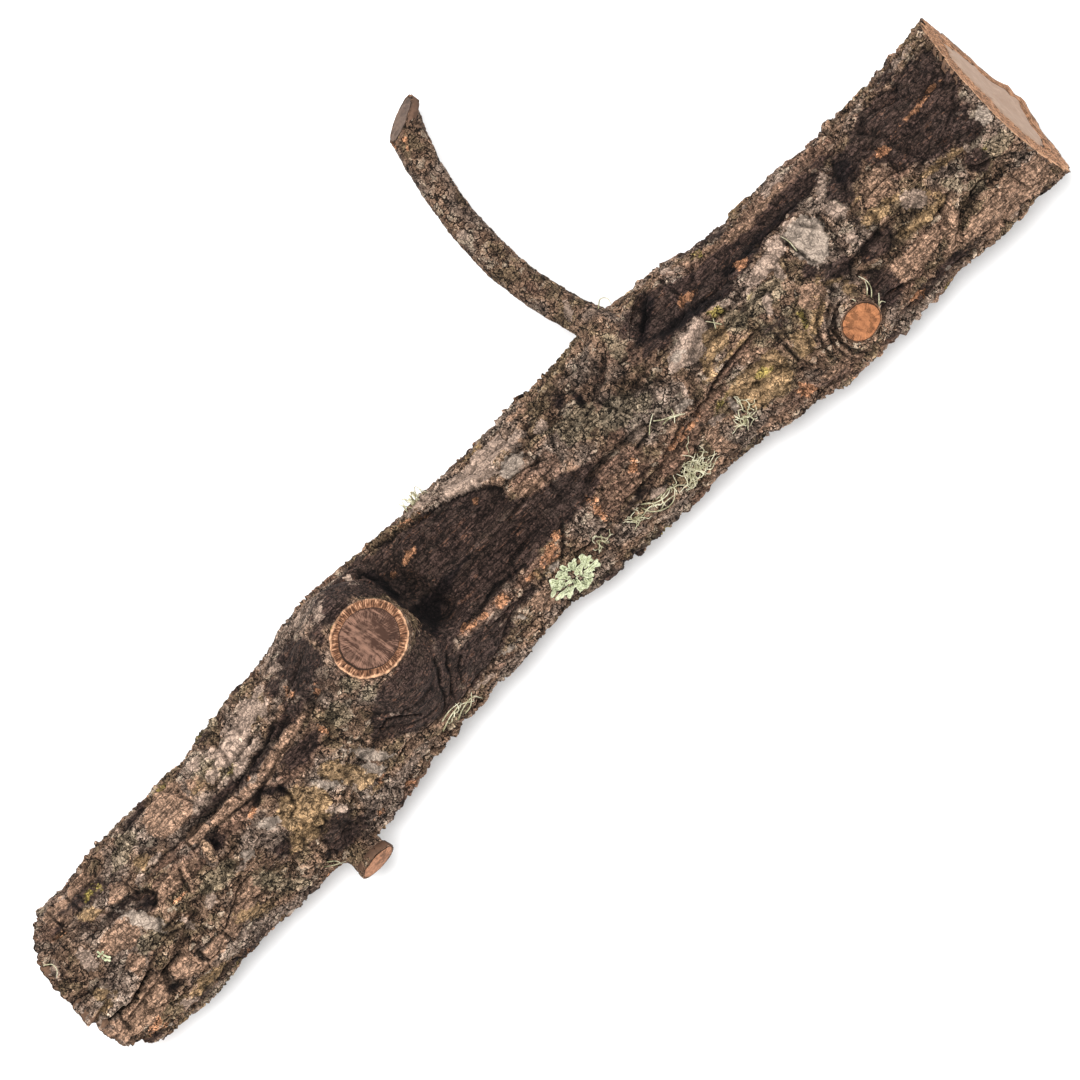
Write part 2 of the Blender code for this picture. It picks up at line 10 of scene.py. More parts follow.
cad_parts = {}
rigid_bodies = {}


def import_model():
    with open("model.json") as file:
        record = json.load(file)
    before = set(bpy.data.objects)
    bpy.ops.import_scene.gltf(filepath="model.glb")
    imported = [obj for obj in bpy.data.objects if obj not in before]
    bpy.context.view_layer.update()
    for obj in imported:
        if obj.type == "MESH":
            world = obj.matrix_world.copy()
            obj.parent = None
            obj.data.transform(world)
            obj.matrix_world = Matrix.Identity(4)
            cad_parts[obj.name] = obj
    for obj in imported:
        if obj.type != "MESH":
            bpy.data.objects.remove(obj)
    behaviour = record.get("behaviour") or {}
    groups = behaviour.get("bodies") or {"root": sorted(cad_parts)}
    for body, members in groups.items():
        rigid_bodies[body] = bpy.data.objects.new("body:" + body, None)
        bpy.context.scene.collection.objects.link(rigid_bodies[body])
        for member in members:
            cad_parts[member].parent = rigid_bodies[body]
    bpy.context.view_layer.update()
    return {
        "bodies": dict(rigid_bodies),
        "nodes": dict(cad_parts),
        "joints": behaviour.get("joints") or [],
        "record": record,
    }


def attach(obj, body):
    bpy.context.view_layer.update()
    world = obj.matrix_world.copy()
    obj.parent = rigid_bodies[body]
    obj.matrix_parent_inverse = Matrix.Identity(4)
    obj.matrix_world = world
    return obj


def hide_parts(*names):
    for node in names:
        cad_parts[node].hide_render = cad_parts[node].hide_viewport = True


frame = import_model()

bl_info = {
    "name": "Cork bark branch",
    "version": (1, 0, 0),
    "blender": (4, 5, 0),
    "location": "3D View > Sidebar > Branch",
    "description": "Dresses a cork bark branch: furrowed bark, sawn wood, lichens and a plain stage",
    "category": "Object",
}

MM = 0.001

# Places are in millimetres, as an eye sees them from EYE_HEIGHT above the trunk's axis.
# Across the branch they count from a line REST_Y below the middle of the underside.
EYE_HEIGHT = 2000.0
EYE_LEVEL = 31.0
REST_Y = 8.0
PICTURE_WIDTH = 345.6

# The trunk: place along it, its two side edges and its thickness from below to above.
TRUNK_STATIONS = np.array([
    (-199, -28.6, 27.6, 57),
    (-175, -29.6, 30.0, 57),
    (-150, -28.2, 31.3, 57),
    (-125, -29.0, 32.8, 59),
    (-100, -29.2, 34.8, 61),
    (-78, -26.4, 37.6, 62),
    (-58, -23.8, 39.3, 60),
    (-38, -22.8, 37.8, 57),
    (-15, -21.8, 37.8, 57),
    (10, -23.6, 38.0, 59),
    (40, -25.8, 37.2, 60),
    (65, -25.8, 37.6, 60),
    (85, -29.6, 35.4, 61),
    (105, -33.0, 32.3, 62),
    (128, -35.2, 30.8, 63),
    (150, -34.2, 29.8, 62),
    (178, -34.2, 30.2, 62),
    (203, -34.4, 32.4, 63),
], float)
LEFT_END = TRUNK_STATIONS[0, 0]
RIGHT_END = TRUNK_STATIONS[-1, 0]
SAWN_LEAN = 0.256
SAWN_LEAN_BELOW = 0.19
OBLIQUE_LEAN = 0.40
LEAN_REACH = 60.0
SEAM = -12.0
PAD_PLACES = (-128.0, 0.0, 132.0)
PAD_LENGTH = 24.0
PAD_SINK = 1.6
ARCH = 2.2

FURROW_DEPTH = 3.2
CRACK_DEPTH = 1.7
# Widths at which furrows and cracks fade, in shares of the noise that they follow.
FURROW_WIDTH = 0.15
CRACK_WIDTH = 0.13


def bell(distance, width, power=2):
    """One at no distance, falling to nothing on both sides: exp(-(distance / width) ** power)."""
    return np.exp(-((distance / width) ** power))


def near_path(x, angle, knots, reach):
    """What lies near a path on the trunk: its knots are (along, angle, half-width, height).

    Gives the rows of points within reach, and for each point there its distance from the nearest leg of the
    path in half-widths, the path's height beside it, and its side of that leg: above 0 on the left.
    """
    places = [knot[0] for knot in knots]
    rows = (x[:, 0] > min(places) - reach) & (x[:, 0] < max(places) + reach)
    near_x, near_angle = x[rows], angle[rows]
    best = np.full(near_x.shape, 1e9)
    height, side = np.zeros(near_x.shape), np.zeros(near_x.shape)
    for (xa, aa, wa, ha), (xb, ab, wb, hb) in zip(knots, knots[1:]):
        radius = trunk_section(np.array((xa + xb) / 2))[1]
        leg = np.array([xb - xa, (ab - aa) * radius])
        off_x, off_s = near_x - xa, (near_angle - aa) * radius
        t = np.clip((off_x * leg[0] + off_s * leg[1]) / max(leg @ leg, 1e-9), 0, 1)
        distance = np.hypot(off_x - t * leg[0], off_s - t * leg[1]) / (wa + t * (wb - wa))
        nearer = distance < best
        best = np.where(nearer, distance, best)
        height = np.where(nearer, ha + t * (hb - ha), height)
        side = np.where(nearer, leg[0] * off_s - leg[1] * off_x, side)
    return rows, best, height, side
LUMP_HEIGHT = 1.4
KNOB_HEIGHT = 0.9
FURROW_SIZE = (42.0, 11.0, 11.0)
CRACK_SIZE = (13.0, 21.0, 21.0)
LUMP_SIZE = (34.0, 20.0, 20.0)
KNOB_SIZE = (15.0, 8.0, 8.0)
PATCH_SIZE = (48.0, 30.0, 30.0)

# Forms in the bark. Each is a path of places (along, across, half-width, height above the bark).
HOLLOWS = {
    "hollow behind the knot": [(-42.5, 29, 4.5, -5), (-41.5, 15, 6, -9.5), (-40, 6, 5, -8)],
    "upper channel": [(-44, 24, 7, -4), (-25, 19, 6.5, -3.2), (-8, 18, 4, -2.2), (3, 19, 2.5, -1)],
    "lower channel": [(-44, 8, 6, -6), (-25, 5, 6, -4), (0, 4, 5.5, -3), (26, 5, 3.5, -1.6)],
    "groove beyond the twig": [(64, 26, 5, -3.5), (80, 24, 6, -4.5), (105, 23, 5, -4), (130, 22.5, 4.5, -3),
                               (152, 20, 5, -2)],
    "hollow near the sawn end": [(162, 12, 7, -1.6), (180, 14, 9, -2.2), (199, 13, 8, -1.6)],
    "furrow along the left third": [(-190, 12, 2.2, -2), (-172, 11, 2.2, -1.4), (-164, 11, 2, -0.6)],
    "furrow above the long ridge": [(-146, 14, 2.4, -2.6), (-128, 14.5, 2.6, -3), (-108, 17.5, 2.4, -2.2)],
    "crack of the lower plates": [(-209, -12.5, 1.6, -2.4), (-197, -13.5, 1.6, -2.4),
                                  (-187, -11, 1.4, -1.6)],
    "hollow round the chip": [(-144, 5, 3.4, -3)],
    "hole above the left end": [(-196, 21, 2.4, -2.4)],
    "hole on the left third": [(-172, 7, 3, -2)],
}
RIDGES = {
    "knot collar": [(-67, 17, 18, 12), (-64, 11, 17, 11)],
    "collar's long foot": [(-66, 30, 9, 2), (-60, -2, 11, 4), (-60, -14, 9, 1.6)],
    "upper rim of the channels": [(-44, 36, 3, 1.4), (-24, 33, 3, 1.8), (-4, 28, 3, 1.6), (6, 20, 2.5, 1.4),
                                  (22, 11, 2.5, 1.2), (36, 7, 2, 0.8)],
    "rib between the channels": [(-31, 13, 1.8, 1.6), (-10, 11.5, 1.8, 1.5), (10, 10.5, 1.6, 1.2)],
    "lower rim of the channels": [(-42, -3, 2.6, 1.6), (-20, -4.5, 2.8, 1.6), (5, -5, 2.6, 1.4)],
    "long ridge": [(-144, 9, 3, 1.6), (-126, 9.5, 3.4, 2.2), (-108, 11, 3.2, 2), (-92, 14, 2.6, 1.4)],
    "collar of the twig": [(58, 30, 6.5, 2.8), (60, 36, 6, 2.4)],
    "ridge beside the twig": [(46, -8.5, 2.4, 1), (60, -4.5, 2.6, 1.4), (80, -2, 2.6, 1.4), (94, 0, 2, 0.8)],
    "ridge on the lower edge": [(95, -25, 3, 1.2), (115, -31, 3, 1.4)],
    "collar of the small stub": [(119.5, -21.8, 10.5, 5)],
    "yellow strip": [(150, -11.6, 1.6, 0.9), (163, -13.2, 1.6, 1.1)],
    "foot of the side stub": [(-111, -29.5, 7, 2)],
}
SMOOTHED_COLLAR = [(-62, 13, 24, 1), (-60, -8, 14, 1)]

# Thin cracks: places along and across, half-width and depth.
CRACKS = [
    [(-209, -12.5, 0.7, -1.6), (-203, -13.6, 0.7, -1.8), (-198, -13.8, 0.6, -1.8), (-194, -12, 0.6, -1.6),
     (-188, -10.5, 0.7, -1.6)],
    [(-204.5, -14, 0.5, -1.3), (-204.8, -19.5, 0.4, -0.9)],
    [(-184.5, -15, 0.8, -2), (-186, -19.5, 1.2, -2.2), (-183, -20, 1.2, -1.8)],
    [(-183, -14.5, 0.6, -1.4), (-176, -13.2, 0.5, -1)],
    [(-172, -16.5, 0.5, -1.4), (-160, -16.8, 0.5, -1.4), (-154, -14.5, 0.5, -1.2)],
    [(-171.5, -17, 0.5, -1.2), (-171, -22, 0.5, -1.2)],
    [(-161.8, -17, 0.4, -1), (-161, -22, 0.4, -1)],
    [(-152, -14, 0.5, -1.3), (-150, -11.6, 0.5, -1.3), (-143, -11, 0.4, -1)],
    [(-189.5, 27, 0.4, -0.9), (-189, 20, 0.4, -1)],
    [(-186.3, 26, 0.35, -0.8), (-186.3, 21.5, 0.35, -0.8)],
    [(-172.6, 17.5, 0.4, -1), (-172.6, 12.5, 0.4, -1)],
    [(-172.5, 11.8, 0.5, -1.4), (-170, 10.4, 0.5, -1.6), (-168.4, 6.6, 0.6, -1.6), (-171, 4.2, 0.6, -1.6)],
    [(-157.5, 6.6, 0.5, -1.3), (-159.4, 3.4, 0.5, -1.4), (-160, -0.4, 0.5, -1.4)],
    [(-149.8, 11.4, 0.45, -1.3), (-149.6, 8.4, 0.45, -1.2)],
    [(-155, 5.4, 0.4, -1), (-156, 1.4, 0.4, -1)],
    [(-197, 27, 0.4, -1), (-197, 21.5, 0.4, -1)],
    [(-129, 12.5, 0.35, -1), (-127.5, 8.5, 0.4, -1.2)],
    [(-119.5, 9, 0.35, -1), (-118.5, 5.5, 0.35, -1)],
    [(-115.5, 9.8, 0.35, -0.9), (-114, 7, 0.35, -0.9)],
    [(-109.5, 14, 0.35, -1), (-108, 9.8, 0.35, -1)],
    [(-150, 8.5, 0.5, -1.2), (-135, 7.8, 0.4, -1), (-122, 6, 0.6, -1.6), (-110, 9, 0.4, -1),
     (-92, 12.5, 0.4, -0.8)],
    [(-125, 4.5, 1.1, -2.2), (-121.5, 6.3, 0.9, -2)],
    [(-116, 3, 0.6, -1.6), (-115.5, -2, 0.6, -1.6), (-117, -6, 0.4, -1.2), (-121, -7, 0.35, -1)],
    [(-90, -1, 0.4, -1), (-86.5, -6, 0.4, -1.2)],
    [(-80, -7, 0.4, -1.2), (-76, -4.5, 0.4, -1), (-72, -6.5, 0.4, -1), (-67, -10, 0.4, -1)],
    [(-52, -1, 0.5, -1.2), (-53.2, -4, 0.6, -1.7), (-56.6, -8, 0.4, -1.1), (-57.6, -12, 0.5, -1.4),
     (-60.4, -15.6, 0.35, -0.8)],
    [(-47.4, -3, 0.35, -0.9), (-50.4, -5.6, 0.55, -1.6), (-51.8, -9.5, 0.35, -0.9), (-55.4, -13, 0.45, -1.3),
     (-56, -16, 0.3, -0.7)],
    [(-45, -7.6, 0.35, -0.9), (-48.2, -10, 0.45, -1.2), (-51.2, -14.6, 0.35, -0.8)],
    [(-38, -2, 0.5, -1.2), (-30, -2.5, 0.6, -1.6), (-22, -1.5, 0.5, -1.2), (-10, -2, 0.4, -1)],
    [(8, -1.5, 0.6, -1.4), (3, -6, 0.6, -1.6), (0, -8.5, 0.6, -1.4)],
    [(4, -11, 0.4, -1.2), (16, -11.5, 0.5, -1.4)],
    [(28, -15, 0.4, -1), (36, -13.8, 0.4, -1), (47, -16.5, 0.5, -1.2), (58, -14.5, 0.4, -1)],
    [(46, -8.8, 0.5, -1.3), (53, -6, 0.5, -1.4), (58, -4.8, 0.5, -1.2), (66, -5.4, 0.5, -1.2),
     (75, -3, 0.5, -1.4), (84, -1.6, 0.5, -1.4), (96, -0.6, 0.4, -1)],
    [(42, -1, 0.5, -1.4), (47, -0.5, 0.5, -1.4)],
    [(57, 23, 0.5, -1.2), (62, 23.5, 0.8, -2.4), (70, 29, 0.8, -2.4), (77, 32.5, 0.7, -1.8)],
    [(98.6, -7.5, 0.6, -1.6), (98.5, -18.5, 0.6, -1.8)],
    [(90, 21.4, 0.6, -1.6), (104, 19.8, 0.5, -1.4), (120, 21.4, 0.5, -1.4), (139, 20.8, 0.5, -1.2)],
    [(122, 13, 0.5, -1.2), (123.5, 5, 0.5, -1.2)],
    [(135.5, 12, 0.5, -1.4), (134, 6, 0.5, -1.4)],
    [(118, -13.3, 0.5, -1.2), (112.8, -16, 0.5, -1.4), (112, -21.5, 0.5, -1.4), (114.5, -27, 0.5, -1.2)],
    [(171, -21.3, 0.4, -1.2), (179, -20.8, 0.4, -1.2), (184, -21.8, 0.4, -1.3), (198, -22.4, 0.4, -1.2)],
    [(171, -24.2, 0.4, -1), (181, -23.5, 0.4, -1)],
    [(187.5, -22, 0.35, -0.8), (189.5, -30, 0.35, -0.8)],
    [(164, -15.5, 0.5, -1.4), (170, -13, 0.5, -1.2)],
    [(165, 27, 0.4, -1), (180, 25, 0.4, -1), (200, 27, 0.4, -1)],
    [(-61, 36, 0.6, -1.2), (-53, 31, 0.7, -1.6), (-49, 33, 0.6, -1.2), (-46, 24, 0.6, -1.4)],
]
# Thin roots and raised lines on the bark.
LINES = [
    [(176, -3, 0.45, 0.8), (181, 1, 0.5, 1), (190, 4, 0.45, 0.9), (194, 8, 0.5, 1), (198.5, 11.5, 0.4, 0.8)],
    [(18, 19, 0.4, 0.6), (25, 15.5, 0.4, 0.8), (30.5, 10, 0.35, 0.7)],
    [(35, 6.5, 0.35, 0.7), (41, 1, 0.35, 0.7)],
    [(92, 20.6, 0.5, 0.9), (106, 20.4, 0.4, 0.8), (118, 20.4, 0.35, 0.6)],
    [(132, 18, 0.5, 0.9), (140, 19.8, 0.5, 1), (150, 24.5, 0.7, 1.2), (156, 27, 0.6, 1)],
    [(-134, 0.5, 0.7, 1), (-129, 3, 0.9, 1.4), (-126.5, 2.3, 0.6, 1)],
]
# Rings of cracks round the small stub: middle, radius, first and last bearing, half-width and depth.
ARCS = [
    ((120.8, -22.4), 8.9, 60, 235, 0.55, -1.5), ((120.4, -22.2), 10.8, 75, 225, 0.45, -1.2), ((119.8, -21.8),
    13, 90, 220, 0.45, -1), ((119.2, -21.4), 16, 100, 205, 0.4, -0.8), ((118.6, -21),
    19, 105, 195, 0.4, -0.7), ((-63, 16), 18.5, 20, 120, 0.45, -0.9), ((-63, 16), 21.5, 25, 115, 0.45, -0.8),
    ((-64, 14), 20, 215, 300, 0.45, -0.8), ((-64, 12), 24, 220, 290, 0.4, -0.7),
]
# Ledges where one plate stands over the next. The left side of each path is the raised one: its height
# and how far it takes to fall away.
LEDGES = [
    ([(-211, -11), (-203, -12.6), (-197, -12.9), (-192, -10.8), (-187, -9.6), (-180, -12.2)], 1.7, 5),
    ([(-190, 12.2), (-181, 13.6), (-171, 12.4)], 1.8, 5),
    ([(-171, 12.6), (-160, 13.6), (-150, 14.2)], 0.9, 4),
    ([(-150, 14.6), (-140, 15.6), (-131, 14.6)], 1.6, 5),
    ([(-129, 13.6), (-118, 15.4), (-108, 17.4), (-99, 20.4)], 1.8, 5),
    ([(-153, -14.6), (-150, -11.4), (-143, -10.6)], 1.3, 4),
    ([(-173, -16.2), (-165, -17), (-158, -16.2), (-152, -13.8)], 1.4, 4),
    ([(-184, -14.6), (-176, -13.4), (-171, -15)], 1.3, 4),
    ([(-46, 36), (-30, 33.4), (-20, 31), (-5, 27.6), (2, 21.6), (12, 20.4), (21, 19.4)], 2.2, 6),
    ([(136, 16.6), (124, 17.3), (113, 16.9), (104, 14.6), (94, 13.6)], 1.7, 5),
    ([(122.2, 15.5), (123.6, 4), (126, -1.5)], 1.2, 3),
    ([(133.6, -0.5), (135.2, 7), (134.8, 14.5)], 1.5, 4),
    ([(47, -9.2), (54, -6.2), (62, -4.8), (70, -4.6), (78, -2), (88, -1), (98, -0.2)], 1.5, 4),
    ([(82, -24.6), (92, -23.2), (98, -25), (112, -28)], 1, 3),
    ([(199, -22.8), (184, -21.7), (170, -21.2)], 1.3, 4),
    ([(-81, -6.8), (-76, -4.6), (-72, -5.6), (-66, -10)], 1.2, 5),
    ([(-40, -7.6), (-27, -7.8), (-15, -8.4), (-4, -9.6)], 1.2, 4),
    ([(4, -11), (14, -11.6), (26, -12.6)], 1, 4),
    ([(170, 1), (160, 4.6), (148, 4.2)], 1.2, 4),
    ([(150, 14), (158, 11), (166, 13)], 1, 4),
    ([(-205, 20), (-198, 19.2), (-191, 20.6)], 1.4, 4),
    ([(140, -30), (152, -31), (166, -29.6)], 1, 4),
    ([(26, -2.2), (36, -7.2), (46, -9.4)], 0.9, 4),
]
# Curled flakes of bark that stand off the trunk: path, half-width and height of the free edge.
FLAKES = [
    [(168.5, -14.5, 1.2, 1.2), (166, -18, 1.6, 1.8), (163, -22, 1.6, 2), (158, -26, 1.3, 1.6),
     (153.5, -28, 0.8, 0.8)],
    [(22, 12.5, 0.8, 0.7), (21.8, 9, 1.6, 1.6), (23.5, 6, 1.6, 1.6), (25.5, 4.8, 0.8, 0.8)],
    [(-152.5, -10.5, 0.5, 0.5), (-148, -14, 2, 0.9), (-146, -18, 0.8, 0.5)],
    [(-207.5, 14.5, 0.4, 0.6), (-207, 12, 0.7, 0.9), (-208.5, 9.5, 0.5, 0.6)],
    [(150, 26, 0.5, 0.8), (153, 27.5, 0.6, 1.2), (155, 25.5, 0.5, 0.8)],
    [(-12, -8.8, 0.5, 0.5), (-5, -9, 0.9, 0.8), (-2, -8.6, 0.5, 0.5)],
]

# Patches of colour on the bark, by finish: along, across, half-length, half-width, bearing of the length.
PATCHES = {
    "white": [
        (-176.8, 3.2, 8.2, 2.2, -63), (-126.5, -3, 4, 1.9, -40), (-88, -10, 7, 1.8, -52),
        (-90.3, -14.2, 3.6, 1.7, -55), (-104, -7.5, 3.8, 1.3, -47), (131, 9.5, 3.8, 3.4, 0),
        (125, 5, 5.5, 3.2, -80), (-4, -8.8, 2.6, 0.9, -5), (62, -1.5, 3.4, 1.3, -10),
        (73.5, -13, 2.8, 1.3, 80), (-138.5, -5.5, 2.2, 1.9, 0), (195.5, -3.2, 3, 2.4, 70),
        (-194, -27, 1, 0.6, 0), (-98, -19.8, 0.9, 0.7, 0), (105, -33.4, 1.6, 0.8, 10),
        (153.5, -30.4, 1.4, 0.7, 0), (-48, -23, 1.4, 0.7, 0), (180, 28.4, 0.9, 0.6, 0),
        (-22.3, -13.2, 1.6, 0.8, -60), (72, 10.8, 2.6, 1.6, 20), (-34, -17.5, 2.6, 1, -20),
        (88, 29, 0.8, 0.6, 0),
    ],
    "pale": [
        (50, 87, 2, 1.2, 90), (57, 46, 2.4, 1.4, 60), (-198.5, 6.5, 4, 2.4, 85), (-208, 12, 3, 1.7, 75),
        (-190, 27.5, 2.5, 1.2, 0), (-168, 13.5, 1.8, 1.2, 0), (-160, 14.4, 2.6, 0.8, 0),
        (-185, -26, 3.4, 1.2, -35), (-157, -23, 3, 0.9, -5), (-157, -7.5, 2.6, 2, 30),
        (-167, -8, 3, 1.5, 90), (-142.3, -6.5, 1.7, 1.3, 0), (-130, 27.5, 2.4, 1.5, 0),
        (-124, 26, 2.6, 1.4, -15), (-128, 21, 2.8, 1.7, 20), (-121.5, 21, 2, 1.8, 0),
        (-116, 25.5, 3.6, 2.5, 35), (-107, 28.5, 3.6, 2.1, 10), (-102, 24, 3.2, 1.7, 35),
        (-137, 17.3, 3, 1.1, 0), (-119, 16.6, 5, 1.7, 20), (-112.5, 18.4, 3.4, 1.5, 10),
        (-91, 31, 2.6, 1.1, -10), (-92, 34.4, 2.4, 1, 0), (-99, 29, 2.4, 1.2, 30),
        (-107, -15.5, 4, 1.1, -42), (-68, 33.5, 3.6, 1.4, 35), (-74, 36.8, 4.5, 0.9, 10),
        (-53, 34, 1.6, 1, -60), (-20, 36, 7, 1.6, -5), (-9, 31.5, 6, 2.2, 5), (0, 28, 5, 2.2, -12),
        (5, 31.4, 4.6, 1.7, 0), (9, 23.4, 5.4, 3.1, -8), (15, 29, 4.4, 1.8, 0), (25, 26, 2.9, 1.6, 0),
        (37, -16.6, 3.4, 2.2, -12), (45, 1.8, 2.6, 1.8, 0), (71, 9.6, 3.6, 2, 20), (78.6, 9.5, 4.6, 3, 60),
        (81, 12, 4.6, 2.4, 20), (65.5, 2, 3, 0.8, 72), (67, -12.5, 4, 0.8, -15), (120, 14.6, 4.4, 2, 0),
        (107, 11.5, 4.2, 1.7, 15), (143, 17.4, 4.8, 1.6, 38), (141, 8.2, 3.8, 2.4, -50),
        (88, 34, 3.4, 2, -35), (138, -1, 2, 2, 0), (161, -6.5, 4.6, 3, -42), (184.5, -7.2, 1.8, 0.8, 80),
        (-46, -19.5, 4.4, 0.7, -10), (-80, -21.6, 7, 0.8, -6), (58, 6.5, 1.6, 1.4, 0), (95, 33, 3, 0.9, -10),
        (133, 28.5, 4, 0.7, 0), (190, 29, 6, 0.9, 4), (-87, 35.5, 3, 0.7, 5), (-139, 30.6, 3, 0.9, 0),
        (126, 16.3, 3.4, 0.8, 0), (104, 2, 3.4, 1.2, 60), (114, 8, 3.6, 1.4, 75),
    ],
    "pink": [
        (-147, 22.5, 9, 6.5, 0), (-192, 24, 5, 3.2, 0), (-187, 5, 7.6, 4, 0), (-188, -4.5, 3.6, 3, 0),
        (-200, -16.6, 9, 3.2, 2), (-187.5, -16, 4.4, 3.4, 0), (-178.4, -15, 5.2, 2.4, -3),
        (-166.4, -19, 4.8, 2.3, -4), (-148, -14, 5, 3, -12), (-207, -17.5, 2.4, 3.4, 0),
        (-13.5, -14.5, 4.6, 3.2, -30), (61.5, -16, 4.6, 2.8, 80), (115, -6, 4.4, 3.6, 0),
        (154.5, 3.4, 6, 2.4, 0), (185, -26.4, 4, 3.2, 0), (194.5, -26, 4.4, 2.8, 0), (176, -30.6, 7, 1.9, 6),
        (24, 35, 5, 1, -3), (-131, 9, 9, 2.2, 0), (-101, 13, 8, 1.8, 8), (22.8, 8.6, 3.4, 2, -60),
        (-160, 5.2, 10, 2.4, 0), (-175, 15.8, 3.6, 2, 0), (-134, 22, 3, 3, 0), (-98, 20, 4, 1.6, 20),
        (120, 26, 16, 2, 0), (80, -26, 8, 1.4, -8), (105, -27.6, 9, 1.3, -12), (8, 15, 6, 2.4, -20),
    ],
    "ochre": [
        (-116, -3.5, 6.4, 3.6, 0), (-117, -11.4, 7, 6, -60), (-100, -6.5, 5.4, 3.6, -45),
        (-95, -14.4, 5, 2.6, -32), (-124, -14, 4, 3, 0), (84, -15, 9, 5.8, 0), (80, -9, 6, 1.8, 8),
        (84.5, 5.5, 5, 3.2, 28), (76, 1, 3, 1.8, 60), (85, -0.3, 10, 0.6, 0), (74, -1.4, 2.6, 1.2, 0),
        (123, -3, 2.6, 1.1, 10), (124, -7, 2.6, 1, -22), (126, -12, 2.4, 1.8, 70),
        (148, -1.4, 5.4, 2.4, -12), (157, -12.6, 7.4, 1.5, -5), (167, -13.4, 3, 0.9, 8),
        (151, -12, 1.6, 1.6, 0), (45, 1.4, 2.8, 1.4, 0), (-205, -8, 5, 1.1, 8), (-203, -4, 3, 2, 0),
        (-188, 17, 4, 2.2, -30), (-164, 17, 2.8, 2.4, 0), (103, -15, 5, 3.4, 70), (176, -4.6, 8, 1.2, -8),
        (-150, -20, 7, 2, -25), (-175, -25.4, 9, 2, -4), (158, -3, 5, 1.4, -30), (112, -12, 6, 1.6, 30),
        (-94, -19.6, 3, 0.8, 0), (165, -8.4, 4, 1.4, -40),
    ],
    "sage": [
        (-140, -15, 5, 2.6, -32), (-133, -24, 4.4, 1.5, -45), (-125, 18, 2.4, 2.2, 0),
        (-76.5, 10, 3.4, 2.4, -50), (-74, 4, 3, 2.4, 0), (53, 8, 4, 2.8, 0), (61, 11.8, 2.2, 1.2, 0),
        (27, 23, 3, 1.2, 0), (111.5, 12, 1.9, 1.8, 0), (94.5, -5.6, 1.9, 1.5, 90), (104, -7, 2, 1.2, 60),
        (106.4, -3.6, 1.3, 1, 0), (98, -2, 4, 0.9, 85), (173, -12, 4.4, 2, -50), (178, -18, 3.4, 2, -50),
        (192, -13, 6, 3.4, 0), (-70, 16, 3, 0.8, 60), (-128, 24, 5, 4, 0),
        (-137, -20, 5, 2, -35), (-86, 6, 4, 4, 0), (-60, -21.5, 6, 1.4, 8), (-171.2, 21.6, 1.8, 0.9, 20),
        (60, 27, 5, 3, 70), (45, 12, 8, 5, 0), (34, 18, 8, 5, 0), (93, 6, 4, 4, 0), (-180, -3, 5, 3, 0),
        (-150, -4, 8, 3.4, 0), (105, 5, 9, 4, 0), (-165, 24, 6, 3, 20),
    ],
    "moss": [
        (-123, 17.4, 1.4, 0.8, 10), (90.4, 12.4, 2.4, 1.5, -25), (100, 30, 2.4, 0.8, 8),
        (102, 8.5, 0.9, 0.8, 0), (109, -8.6, 3, 1, 60), (-182, 21, 2.6, 1, -10), (88, -12, 2.6, 1.6, -20),
        (71.5, -9.4, 3, 0.7, 10),
    ],
    "orange": [
        (-42, 25.3, 1.5, 0.8, 15), (-34, 26.6, 2.6, 1, 15), (-36.5, -3.6, 3, 1.4, -8),
        (-31, -4.6, 2, 0.8, -10), (-23.5, -5.4, 2.6, 2.2, 0), (-12, -6.4, 1.4, 1, 0), (-2, -5.2, 5, 1.8, 24),
        (3.2, -3, 2.4, 1.2, 30), (-6.6, 24.2, 1.6, 0.8, 70), (-27, 34, 4.4, 0.7, -24),
        (-1.4, -7.4, 1.4, 0.8, 0), (18.8, -6, 3.4, 1.1, 85), (21, -3, 1.1, 0.8, 20),
        (37, -4.6, 1.9, 1.4, 50), (87, 22.4, 3, 1.5, 0), (107, 17.8, 2.2, 1.3, -12),
        (93.4, -26.4, 3.6, 2.5, -55), (164.2, 11.4, 2.1, 1.5, 0), (-92.3, 22.4, 1.9, 1.1, 75),
        (-85.8, 16, 1.8, 1, 48), (-92.7, 4.8, 2.8, 0.9, -72), (-128.4, 2.4, 2.6, 0.9, 18),
        (-120.8, 11.7, 1, 0.7, 0), (-98, -27, 2, 1, 0), (-91, -18.8, 1.8, 0.6, 0), (-197.4, -24, 3.2, 1, 6),
        (-196, -25.8, 1.2, 0.8, 0), (132, -34, 2.2, 0.9, -10), (140, -29.6, 2.2, 0.8, -15),
        (181, 13.6, 6, 0.8, 2), (-9.4, 29.2, 1.4, 0.5, -20), (-22, 33.5, 1.4, 0.5, -20),
        (190, 15, 3, 0.6, -8), (-188, 12.6, 2, 0.4, 20), (-200, 18.6, 2.4, 0.6, -10), (-163, 0, 3, 0.4, 0),
        (60, -8, 5, 0.7, 8), (52, -7.8, 4, 0.7, 15), (55.5, 125, 4, 1.2, 60), (59, 122, 3, 0.8, 60),
    ],
    "brown": [
        (-31, -4.4, 14, 2.4, -3), (-7, -5.6, 11, 2.2, 0), (-160, 6, 12, 4, 0), (-108, 4, 10, 3.4, 0),
        (-135, 5, 8, 3, 0), (35, 0, 8, 2.8, -18), (53, -7.8, 7, 1.6, 14), (68, -6.4, 9, 2.2, 6),
        (50, -12.4, 8, 2.8, 0), (28, -7, 12, 4, 0), (-22, 18.6, 8, 2.2, -6), (-20, 5, 20, 4, 0),
        (82, -3, 10, 1.6, 8), (150, -19, 12, 3.4, 0), (142, -22, 8, 4, 0), (182, 12.6, 14, 2.2, 0),
        (110, 25, 24, 3, 0), (142, 25, 14, 3, 0), (-160, 11.6, 10, 1.8, 2), (-200, 22, 5, 2.4, 0),
        (165, 4, 5, 3, 0), (90, -24.4, 10, 1.6, -8),
    ],
    # The dark patches are partly dark bark and partly painted shadow: under ledges, in furrows and beside
    # the chip.
    "dark": [
